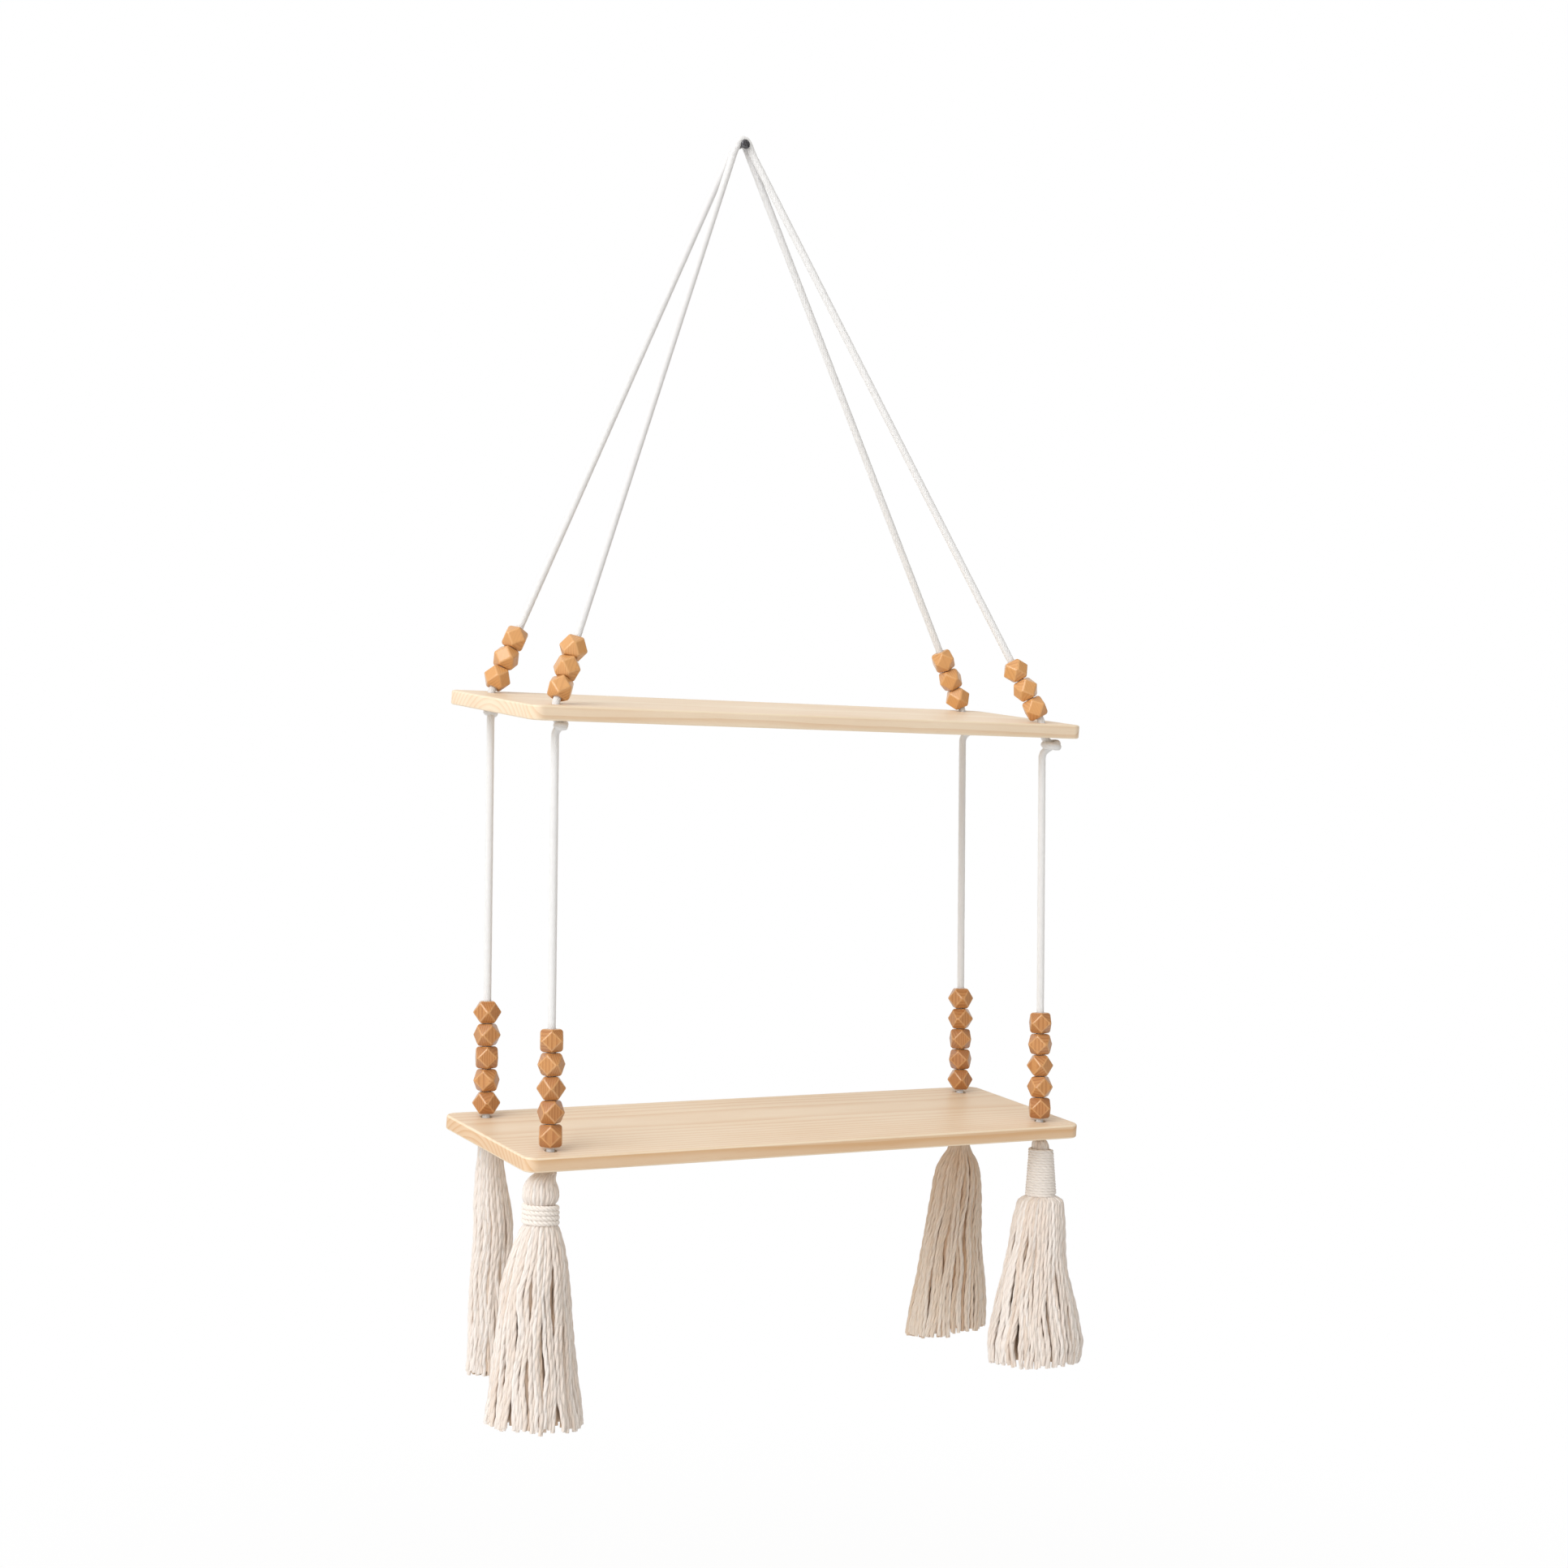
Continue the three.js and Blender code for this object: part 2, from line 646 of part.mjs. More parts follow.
add(shelf, "wall_nail", makeNail(), materials.nail);
add(shelf, "rope_crown_rear", makeCrown(1), materials.rope);
add(shelf, "rope_crown_front", makeCrown(-1), materials.rope);

for (const [name, height] of [
  ["upper_board", UPPER_Z],
  ["lower_board", LOWER_Z],
]) {
  const board = add(shelf, name, makeBoard(), materials.board);
  board.position.set(0, BOARD_Y, height);
  board.rotation.x = LEAN;
}

for (const corner of CORNERS) {
  const upperFoot = ropeAtBoard(corner, UPPER_Z);
  const lowerFoot = ropeAtBoard(corner, LOWER_Z);
  const direction = legDirection(corner);
  add(shelf, `rope_leg_${corner.name}`, makeLeg(corner), materials.rope);
  addStack("upper", corner, UPPER_BEAD_COUNT, upperFoot, direction, beadSeat(direction, 0));

  const top = knotHeights(corner).pivot + ROPE_RADIUS;
  const bottom = lowerFoot.z - BOARD_PLUMB;
  const link = add(shelf, `rope_link_${corner.name}`, plumbRope(bottom, top), materials.rope);
  link.position.set(lowerFoot.x, lowerFoot.y, 0);
  const sway = THREE.MathUtils.degToRad(SWAY_DEG);
  addStack("lower", corner, LOWER_BEAD_COUNT, lowerFoot, UP, beadSeat(UP, sway));

  const hanging = new THREE.Group();
  hanging.position.set(lowerFoot.x, lowerFoot.y, bottom - TAIL_PIVOT_DROP);
  shelf.add(hanging);
  const tassel = TASSELS[corner.name];
  add(hanging, `tassel_tail_${corner.name}`, makeTail(), materials.rope);
  add(hanging, `tassel_${corner.name}`, makeTassel(tassel), materials.tassel);
  if (tassel.wrap) {
    const stations = wrapStations(tassel);
    const gap = leastGap(stations, tassel.wrap.cordRadius);
    console.log(`wrap ${corner.name}: least gap between its loops ${gap.toFixed(2)} mm`);
    const winding = tube(stations, tassel.wrap.cordRadius, WRAP_SIDES);
    add(hanging, `tassel_wrap_${corner.name}`, winding, materials.tassel);
  }
}

export default shelf;
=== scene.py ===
"""A two-tier shelf that hangs on one nail: wooden boards on cotton ropes, with beads and tassels.

Metres, +Z up. The origin is where the nail's axis meets the wall, +Y goes into the wall, and the
viewer stands at -Y. Angles are in degrees where a name says so.
"""

from __future__ import annotations

import json
import logging
import math
from dataclasses import dataclass, field
from enum import Enum
from itertools import permutations, product
from typing import Any, Callable, Iterable, Sequence

import bmesh
import bpy
import numpy as np
from mathutils import Matrix, Quaternion, Vector

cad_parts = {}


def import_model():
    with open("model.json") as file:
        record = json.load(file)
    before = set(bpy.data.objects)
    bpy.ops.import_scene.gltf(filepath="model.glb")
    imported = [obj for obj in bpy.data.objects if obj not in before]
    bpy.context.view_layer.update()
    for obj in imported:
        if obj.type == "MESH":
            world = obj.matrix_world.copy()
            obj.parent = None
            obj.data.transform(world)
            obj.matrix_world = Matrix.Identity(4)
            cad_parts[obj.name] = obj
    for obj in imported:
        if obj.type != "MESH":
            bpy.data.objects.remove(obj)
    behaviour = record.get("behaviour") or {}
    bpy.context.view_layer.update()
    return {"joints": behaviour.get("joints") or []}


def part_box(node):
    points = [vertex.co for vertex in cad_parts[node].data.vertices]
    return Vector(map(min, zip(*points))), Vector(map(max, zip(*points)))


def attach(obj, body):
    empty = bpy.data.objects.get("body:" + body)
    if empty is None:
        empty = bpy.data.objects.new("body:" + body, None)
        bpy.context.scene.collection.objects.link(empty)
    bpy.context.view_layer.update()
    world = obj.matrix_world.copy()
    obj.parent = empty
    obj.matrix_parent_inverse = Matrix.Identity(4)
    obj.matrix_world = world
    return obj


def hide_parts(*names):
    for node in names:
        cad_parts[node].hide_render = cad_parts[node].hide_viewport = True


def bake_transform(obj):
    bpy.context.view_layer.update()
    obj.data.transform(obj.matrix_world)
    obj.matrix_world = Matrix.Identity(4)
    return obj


log = logging.getLogger("rope_shelf")

FULL_TURN = 2 * math.pi
UP = np.array([0.0, 0.0, 1.0])
RIGHT = np.array([1.0, 0.0, 0.0])
WHITE = (1.0, 1.0, 1.0, 1.0)
TINY = 1e-9
GOLDEN_SHARE = (math.sqrt(5) - 1) / 2


def linear(code: int) -> tuple[float, float, float, float]:
    """Turns a colour as a screen shows it into the renderer's own.

    Args:
        code: The colour as 0xRRGGBB.

    Returns:
        Red, green, blue and alpha, in linear light.
    """
    light = []
    for shift in (16, 8, 0):
        share = (code >> shift & 255) / 255
        light.append(share / 12.92 if share <= 0.04045 else ((share + 0.055) / 1.055) ** 2.4)
    return (*light, 1.0)


def ease(share: Any) -> Any:
    """Smooth step from 0 to 1 as the share goes from 0 to 1."""
    held = np.clip(share, 0.0, 1.0)
    return held * held * (3 - 2 * held)


def operator(operation: str, swapped: bool = False) -> Callable[[Signal, Any], Signal]:
    """Writes one of Python's operators as a Math node.

    Args:
        operation: What the node works out.
        swapped: Whether the other value comes first.

    Returns:
        The method that adds the node.
    """

    def method(self: Signal, other: Signal | float) -> Signal:
        """Adds the node."""
        return self.plan.maths(operation, *((other, self) if swapped else (self, other)))

    return method


class Signal:
    """One output of a node, on which Python's operators add the nodes that work them out."""

    __add__, __radd__ = operator("ADD"), operator("ADD", True)
    __sub__, __rsub__ = operator("SUBTRACT"), operator("SUBTRACT", True)
    __mul__, __rmul__ = operator("MULTIPLY"), operator("MULTIPLY", True)
    __truediv__, __rtruediv__ = operator("DIVIDE"), operator("DIVIDE", True)

    def __init__(self, plan: Plan, socket: bpy.types.NodeSocket) -> None:
        """Keeps the tree and the output that this stands for."""
        self.plan = plan
        self.socket = socket

    def also(self, output: int | str) -> Signal:
        """Another output of the same node."""
        return Signal(self.plan, self.socket.node.outputs[output])


class Plan:
    """A node tree that is written as expressions, for a finish or for a shape."""

    COLOUR_FACTOR, COLOUR_A, COLOUR_B, COLOUR_RESULT = 0, 6, 7, 2

    def __init__(self, tree: bpy.types.NodeTree) -> None:
        """Keeps the tree that the nodes go into."""
        self.tree = tree

    def node(
        self,
        kind: str,
        settings: dict[str, Any] | None = None,
        inputs: dict[int | str, Any] | None = None,
        output: int | str = 0,
    ) -> Signal:
        """Adds one node.

        Args:
            kind: The node's type.
            settings: Its own settings, which are set first.
            inputs: A value or a signal for each socket, by name or index.
            output: The output that the result stands for.

        Returns:
            That output.
        """
        node = self.tree.nodes.new(kind)
        for name, value in (settings or {}).items():
            setattr(node, name, value)
        for key, value in (inputs or {}).items():
            if isinstance(value, Signal):
                self.tree.links.new(value.socket, node.inputs[key])
            else:
                node.inputs[key].default_value = value
        return Signal(self, node.outputs[output])

    def maths(self, operation: str, *values: Signal | float) -> Signal:
        """One Math node on numbers."""
        return self.node("ShaderNodeMath", {"operation": operation}, dict(enumerate(values)))

    def vector(self, operation: str, *values: Any) -> Signal:
        """One Vector Math node on vectors."""
        return self.node("ShaderNodeVectorMath", {"operation": operation}, dict(enumerate(values)))

    def measured(self, operation: str, *values: Any) -> Signal:
        """One Vector Math node that gives a number."""
        settings, inputs = {"operation": operation}, dict(enumerate(values))
        return self.node("ShaderNodeVectorMath", settings, inputs, "Value")

    def scaled(self, vector: Signal, by: Signal | float) -> Signal:
        """A vector times a number."""
        inputs = {0: vector, "Scale": by}
        return self.node("ShaderNodeVectorMath", {"operation": "SCALE"}, inputs)

    def joined(self, x: Any, y: Any, z: Any) -> Signal:
        """A vector from its three parts."""
        return self.node("ShaderNodeCombineXYZ", inputs={0: x, 1: y, 2: z})

    def parts(self, vector: Signal) -> tuple[Signal, Signal, Signal]:
        """The three parts of a vector."""
        first = self.node("ShaderNodeSeparateXYZ", inputs={0: vector})
        return first, first.also(1), first.also(2)

    def mixed(self, share: Signal | float, first: Any, second: Any) -> Signal:
        """A colour between two others."""
        inputs = {self.COLOUR_FACTOR: share, self.COLOUR_A: first, self.COLOUR_B: second}
        return self.node("ShaderNodeMix", {"data_type": "RGBA"}, inputs, self.COLOUR_RESULT)

    def between(self, low: float, high: float, value: Signal) -> Signal:
        """Smooth step of a value from one number to another."""
        inputs = {"Value": value, "From Min": low, "From Max": high}
        return self.node("ShaderNodeMapRange", {"interpolation_type": "SMOOTHSTEP"}, inputs)

    def noise(self, where: Signal, scale: float, detail: float = 2.0, rough: float = 0.5) -> Signal:
        """A noise value from 0 to 1 at a place, with that many features to the metre."""
        inputs = {"Vector": where, "Scale": scale, "Detail": detail, "Roughness": rough}
        return self.node("ShaderNodeTexNoise", inputs=inputs)

    def attribute(self, name: str, output: str = "Fac") -> Signal:
        """An attribute of the painted piece."""
        return self.node("ShaderNodeAttribute", {"attribute_name": name}, output=output)

    def place(self) -> Signal:
        """The place on the painted piece, in its own metres."""
        return self.node("ShaderNodeTexCoord", output="Object")

    def seen_directly(self) -> Signal:
        """1 for rays from the camera, also through glass, and 0 for the rest."""
        path = self.node("ShaderNodeLightPath", output="Is Camera Ray")
        return self.maths("MAXIMUM", path, path.also("Is Transmission Ray"))


class ShapeTree(Plan):
    """A Geometry Nodes tree with named inputs, which dresses a guide mesh and gives a plain one."""

    GUIDE, FINISH = "Guide", "Finish"

    def __init__(self, name: str, inputs: dict[str, str]) -> None:
        """Makes the tree's sockets.

        Args:
            name: The tree's name.
            inputs: The type of each named input besides the guide and the finish.
        """
        super().__init__(bpy.data.node_groups.new(name, "GeometryNodeTree"))
        sockets = {self.GUIDE: "NodeSocketGeometry", **inputs, self.FINISH: "NodeSocketMaterial"}
        self.keys: dict[str, str] = {}
        for label, kind in sockets.items():
            socket = self.tree.interface.new_socket(label, in_out="INPUT", socket_type=kind)
            self.keys[label] = socket.identifier
        self.tree.interface.new_socket("Shape", in_out="OUTPUT", socket_type="NodeSocketGeometry")
        self.source = self.tree.nodes.new("NodeGroupInput")

    def given(self, label: str) -> Signal:
        """What the named input holds."""
        return Signal(self, self.source.outputs[label])

    def read(self, name: str) -> Signal:
        """What a named attribute of the guide holds."""
        return self.node("GeometryNodeInputNamedAttribute", {"data_type": "FLOAT"}, {"Name": name})

    def save(self, shape: Signal, name: str, value: Signal, kind: str = "FLOAT") -> Signal:
        """Stores a value at each point of a shape, under a name.

        Args:
            shape: The shape.
            name: The attribute's name.
            value: What it holds.
            kind: Its type.

        Returns:
            The shape with the attribute.
        """
        settings = {"data_type": kind, "domain": "POINT"}
        inputs = {"Geometry": shape, "Name": name, "Value": value}
        return self.node("GeometryNodeStoreNamedAttribute", settings, inputs)

    def close(self, shape: Signal) -> None:
        """Ends the tree with a real mesh in its finish.

        Args:
            shape: What the tree gives.
        """
        real = self.node("GeometryNodeRealizeInstances", inputs={"Geometry": shape})
        inputs = {"Geometry": real, "Material": self.given(self.FINISH)}
        painted = self.node("GeometryNodeSetMaterial", inputs=inputs)
        self.tree.links.new(painted.socket, self.tree.nodes.new("NodeGroupOutput").inputs[0])

    def made(self, name: str, guide: bpy.types.Mesh, values: dict[str, Any]) -> bpy.types.Object:
        """Dresses one guide mesh.

        Args:
            name: The piece's name.
            guide: The mesh that the tree works on.
            values: What each named input holds.

        Returns:
            The piece, as a plain mesh without a modifier.
        """
        carrier = bpy.data.objects.new(f"{name}_guide", guide)
        bpy.context.scene.collection.objects.link(carrier)
        modifier = carrier.modifiers.new("shape", "NODES")
        modifier.node_group = self.tree
        for label, value in values.items():
            modifier[self.keys[label]] = value
        graph = bpy.context.evaluated_depsgraph_get()
        mesh = bpy.data.meshes.new_from_object(carrier.evaluated_get(graph))
        carrier.modifiers.remove(modifier)
        bpy.data.objects.remove(carrier)
        return shown(name, mesh)


def shown(name: str, mesh: bpy.types.Mesh) -> bpy.types.Object:
    """Puts a mesh in the scene as a piece at the origin.

    Args:
        name: The piece's name.
        mesh: Its mesh, already in place.

    Returns:
        The piece.
    """
    mesh.name = name
    piece = bpy.data.objects.new(name, mesh)
    bpy.context.scene.collection.objects.link(piece)
    return piece


def reported(piece: bpy.types.Object) -> bpy.types.Object:
    """Logs a piece's size and gives it back."""
    log.info("%s: %d faces", piece.name, len(piece.data.polygons))
    return piece


class Corner(Enum):
    """The four ropes, by the boards' corners."""

    REAR_LEFT = ("rear_left", -1, 1, 23, 0.55)
    FRONT_LEFT = ("front_left", -1, -1, 63, 0.64)
    REAR_RIGHT = ("rear_right", 1, 1, 109, 0.85)
    FRONT_RIGHT = ("front_right", 1, -1, 149, 1.1)

    def __init__(self, label: str, side: int, row: int, turn_deg: float, knot_share: float) -> None:
        """Names a corner's values.

        Args:
            label: The corner's name in the names of its pieces.
            side: -1 on the left and 1 on the right.
            row: -1 in front and 1 at the wall.
            turn_deg: How far round the first bead is turned on the rope.
            knot_share: How big the knot under the upper board is beside the knot as tied.
        """
        self.label = label
        self.side = side
        self.row = row
        self.turn = math.radians(turn_deg)
        self.knot_share = knot_share


class Tier(Enum):
    """The two boards."""

    UPPER = ("upper", 3, -0.02)
    LOWER = ("lower", 5, 0.74)

    def __init__(self, label: str, bead_count: int, bead_tone: float) -> None:
        """Names a tier's values.

        Args:
            label: The tier's name in the names of its pieces.
            bead_count: How many beads stand on the board at each rope.
            bead_tone: How dark the wood of the tier's beads is.
        """
        self.label = label
        self.bead_count = bead_count
        self.bead_tone = bead_tone


@dataclass(frozen=True)
class Places:
    """Where the ropes run, read from the frame's joints and pieces."""

    joints: dict[str, dict[str, Any]]
    board_thickness: float = 0.010
    lean_deg: float = 6.8

    @property
    def lean(self) -> float:
        """How far the boards lean to the front, in radians."""
        return math.radians(self.lean_deg)

    @property
    def plumb(self) -> float:
        """The length of a plumb line through a leaning board."""
        return self.board_thickness / math.cos(self.lean)

    def joint_place(self, name: str) -> np.ndarray:
        """Where a named joint turns."""
        return np.array(self.joints[name]["pos_m"], float)

    def foot(self, tier: Tier, corner: Corner) -> np.ndarray:
        """Where a rope's axis meets the top of a board."""
        return self.joint_place(f"{tier.label}_bead_spin_{corner.label}_2")

    def rise(self, tier: Tier, corner: Corner) -> np.ndarray:
        """The direction in which a rope leaves the top of a board."""
        axis = np.array(self.joints[f"{tier.label}_bead_spin_{corner.label}_2"]["axis"], float)
        return axis / np.linalg.norm(axis)

    def hole(self, tier: Tier, corner: Corner) -> np.ndarray:
        """The middle of a rope's hole in a board."""
        return self.foot(tier, corner) - UP * self.plumb / 2

    def link_pivot(self, corner: Corner) -> np.ndarray:
        """Where a link swings, just under its knot."""
        name = "sway" if corner is Corner.REAR_LEFT else f"sway_{corner.label}"
        return self.joint_place(name)

    def tassel_pivot(self, corner: Corner) -> np.ndarray:
        """Where a tassel swings."""
        return self.joint_place(f"tassel_swing_{corner.label}")


@dataclass
class Guide:
    """A line that a strand follows, with how thick and how shaded the strand is along it."""

    points: np.ndarray
    thickness: np.ndarray | float = 1.0
    inside: np.ndarray | float = 0.0
    tone: float = 0.5
    phase: float = 0.0


def guide_mesh(name: str, guides: Iterable[Guide]) -> bpy.types.Mesh:
    """Makes one mesh of bare edges from several guides.

    Args:
        name: The mesh's name.
        guides: The lines.

    Returns:
        The mesh, with an attribute for each value along the lines.
    """
    listed = list(guides)
    points = np.concatenate([guide.points for guide in listed])
    edges = []
    start = 0
    for guide in listed:
        count = len(guide.points)
        edges += [(start + k, start + k + 1) for k in range(count - 1)]
        start += count
    mesh = bpy.data.meshes.new(name)
    mesh.from_pydata(points.tolist(), edges, [])
    for label in ("thickness", "inside", "tone", "phase"):
        values = [np.broadcast_to(getattr(guide, label), len(guide.points)) for guide in listed]
        attribute = mesh.attributes.new(label, "FLOAT", "POINT")
        attribute.data.foreach_set("value", np.concatenate(values).astype(np.float32))
    return mesh


def even(points: np.ndarray, step: float) -> np.ndarray:
    """Spreads points evenly along a line.

    Args:
        points: The line's corners.
        step: About how far apart the points are to be.

    Returns:
        The new points, with the same ends.
    """
    run = np.concatenate([[0.0], np.cumsum(np.linalg.norm(np.diff(points, axis=0), axis=1))])
    count = max(2, round(run[-1] / step) + 1)
    stations = np.linspace(0.0, run[-1], count)
    return np.stack([np.interp(stations, run, points[:, axis]) for axis in range(3)], axis=1)


def softened(points: np.ndarray, reach: int) -> np.ndarray:
    """Rounds the corners of evenly spaced points, and keeps the ends.

    Args:
        points: The points.
        reach: How many neighbours on each side share in a point's new place.

    Returns:
        The rounded line.
    """
    before = points[0] - (points[1:reach + 1] - points[0])[::-1]
    after = points[-1] - (points[-reach - 1:-1] - points[-1])[::-1]
    padded = np.concatenate([before, points, after])
    window = np.ones(2 * reach + 1) / (2 * reach + 1)
    return np.stack([np.convolve(padded[:, axis], window, "valid") for axis in range(3)], axis=1)


def length_of(points: np.ndarray) -> float:
    """The length of a line."""
    return float(np.linalg.norm(np.diff(points, axis=0), axis=1).sum())


def laid_rope_tree() -> ShapeTree:
    """The tree that lays strands round each guide: ropes, yarns and the cord round a neck.

    Returns:
        The tree.
    """
    counts = dict.fromkeys(("Strand Count", "Sides"), "NodeSocketInt")
    sizes = dict.fromkeys(("Strand Radius", "Lay Radius", "Lay Length", "Step"), "NodeSocketFloat")
    plan = ShapeTree("laid rope", {**counts, **sizes})
    thickness, phase = plan.read("thickness"), plan.read("phase")
    curve = plan.node("GeometryNodeMeshToCurve", inputs={"Mesh": plan.given(plan.GUIDE)})
    inputs = {"Curve": curve, "Length": plan.given("Step")}
    stepped = plan.node("GeometryNodeResampleCurve", {"mode": "LENGTH"}, inputs)
    along = plan.node("GeometryNodeSplineParameter", output="Length")
    inputs = {"Geometry": plan.save(stepped, "along", along), "Amount": plan.given("Strand Count")}
    strands = plan.node("GeometryNodeDuplicateElements", {"domain": "SPLINE"}, inputs)
    turned = along / plan.given("Lay Length")
    which = strands.also("Duplicate Index") / plan.given("Strand Count")
    angle = (turned + which + phase) * FULL_TURN
    normal = plan.node("GeometryNodeInputNormal")
    across = plan.vector("CROSS_PRODUCT", plan.node("GeometryNodeInputTangent"), normal)
    ahead = plan.scaled(normal, plan.maths("COSINE", angle))
    aside = plan.scaled(across, plan.maths("SINE", angle))
    out = plan.vector("ADD", ahead, aside)
    offset = plan.scaled(out, plan.given("Lay Radius") * thickness)
    laid = plan.node("GeometryNodeSetPosition", inputs={"Geometry": strands, "Offset": offset})
    sized = plan.node("GeometryNodeSetCurveRadius", inputs={"Curve": laid, "Radius": thickness})
    inputs = {"Resolution": plan.given("Sides"), "Radius": plan.given("Strand Radius")}
    section = plan.node("GeometryNodeCurvePrimitiveCircle", {"mode": "RADIUS"}, inputs)
    round_share = plan.node("GeometryNodeSplineParameter", output="Factor")
    profile = plan.save(section, "around", round_share)
    inputs = {"Curve": sized, "Profile Curve": profile, "Fill Caps": True}
    body = plan.node("GeometryNodeCurveToMesh", inputs=inputs)
    plan.close(plan.node("GeometryNodeSetShadeSmooth", inputs={0: body, "Shade Smooth": True}))
    return plan


@dataclass(frozen=True)
class Lay:
    """How a rope or yarn is laid up from its strands."""

    strand_count: int
    strand_radius: float
    lay_radius: float
    lay_length: float
    step: float
    sides: int

    def values(self, finish: bpy.types.Material) -> dict[str, Any]:
        """The tree's inputs for this lay in a finish."""
        sizes = {name.replace("_", " ").title(): value for name, value in vars(self).items()}
        return {**sizes, ShapeTree.FINISH: finish}


@dataclass(frozen=True)
class Finish:
    """A painted surface, which each kind of finish works out in its own way."""

    name: str

    def material(self) -> bpy.types.Material:
        """Makes the material.

        Returns:
            The material, with its tree.
        """
        made = bpy.data.materials.new(self.name)
        made.use_nodes = True
        self.paint(Plan(made.node_tree), made.node_tree.nodes["Principled BSDF"])
        return made

    def paint(self, plan: Plan, surface: bpy.types.Node) -> None:
        """Paints the surface's shader."""
        raise NotImplementedError

    @staticmethod
    def feed(plan: Plan, surface: bpy.types.Node, sockets: dict[str, Signal | float]) -> None:
        """Links or sets the shader's sockets.

        Args:
            plan: The material's tree.
            surface: The shader.
            sockets: A signal or a number for each socket by name.
        """
        for label, value in sockets.items():
            if isinstance(value, Signal):
                plan.tree.links.new(value.socket, surface.inputs[label])
            else:
                surface.inputs[label].default_value = value

    @staticmethod
    def bumped(plan: Plan, height: Signal, depth: float, strength: float) -> Signal:
        """A surface normal from a height.

        Args:
            plan: The material's tree.
            height: The height, from 0 to 1.
            depth: What 1 stands for, in metres.
            strength: How much of the relief is used.

        Returns:
            The normal.
        """
        inputs = {"Height": height, "Distance": depth, "Strength": strength}
        return plan.node("ShaderNodeBump", inputs=inputs)


@dataclass(frozen=True)
class Cotton(Finish):
    """Soft spun cotton, with its fibres along the strands and shade deep among them."""

    colour: int
    shade: int
    deep: int
    fibre_scale: float = 900.0
    fibre_stretch: float = 1.5
    fibre_along: float = 0.12
    fibre_around: float = 0.012
    fibre_apart: float = 3.0
    fibre_share: float = 0.45
    lint_share: float = 0.3
    patch_scale: float = 45.0
    patch_share: float = 0.2
    yarn_share: float = 0.6
    shade_from: float = 0.35
    shade_to: float = 0.95
    roughness: float = 0.95
    shine: float = 0.15
    sheen: float = 0.15
    sheen_roughness: float = 0.5
    softness: float = 0.3
    soft_depth: float = 0.0015
    tone_share: float = 0.5
    deep_share: float = 0.8
    relief: float = 0.00022
    relief_share: float = 0.7

    def paint(self, plan: Plan, surface: bpy.types.Node) -> None:
        """Paints fibres, a tone for each yarn and the shade inside.

        Args:
            plan: The material's tree.
            surface: The shader.
        """
        place = plan.place()
        along, around, tone, inside = map(plan.attribute, ("along", "around", "tone", "inside"))
        round_yarn = around * self.fibre_around + tone
        lane = plan.joined(along * self.fibre_along, round_yarn, tone * self.fibre_apart)
        fibres = plan.noise(lane, self.fibre_scale * self.fibre_stretch, detail=3.0, rough=0.6)
        lint = plan.noise(place, self.fibre_scale, rough=0.6)
        patches = plan.noise(place, self.patch_scale)
        worn = fibres * self.fibre_share + patches * self.patch_share + tone * self.yarn_share
        share = plan.between(self.shade_from, self.shade_to, worn) * self.tone_share
        base = plan.mixed(share, linear(self.colour), linear(self.shade))
        # The inside attribute mixes in the deep colour: painted shade among the yarns.
        deep = plan.between(0.0, 1.0, inside) * self.deep_share
        shaded = plan.mixed(deep, base, linear(self.deep))
        height = fibres * (1.0 - self.lint_share) + lint * self.lint_share
        self.feed(
            plan,
            surface,
            {
                "Base Color": shaded,
                "Roughness": self.roughness,
                "Specular IOR Level": self.shine,
                "Sheen Weight": self.sheen,
                "Sheen Roughness": self.sheen_roughness,
                "Subsurface Weight": self.softness,
                "Subsurface Radius": WHITE[:3],
                "Subsurface Scale": self.soft_depth,
                "Normal": self.bumped(plan, height, self.relief, self.relief_share),
            },
        )


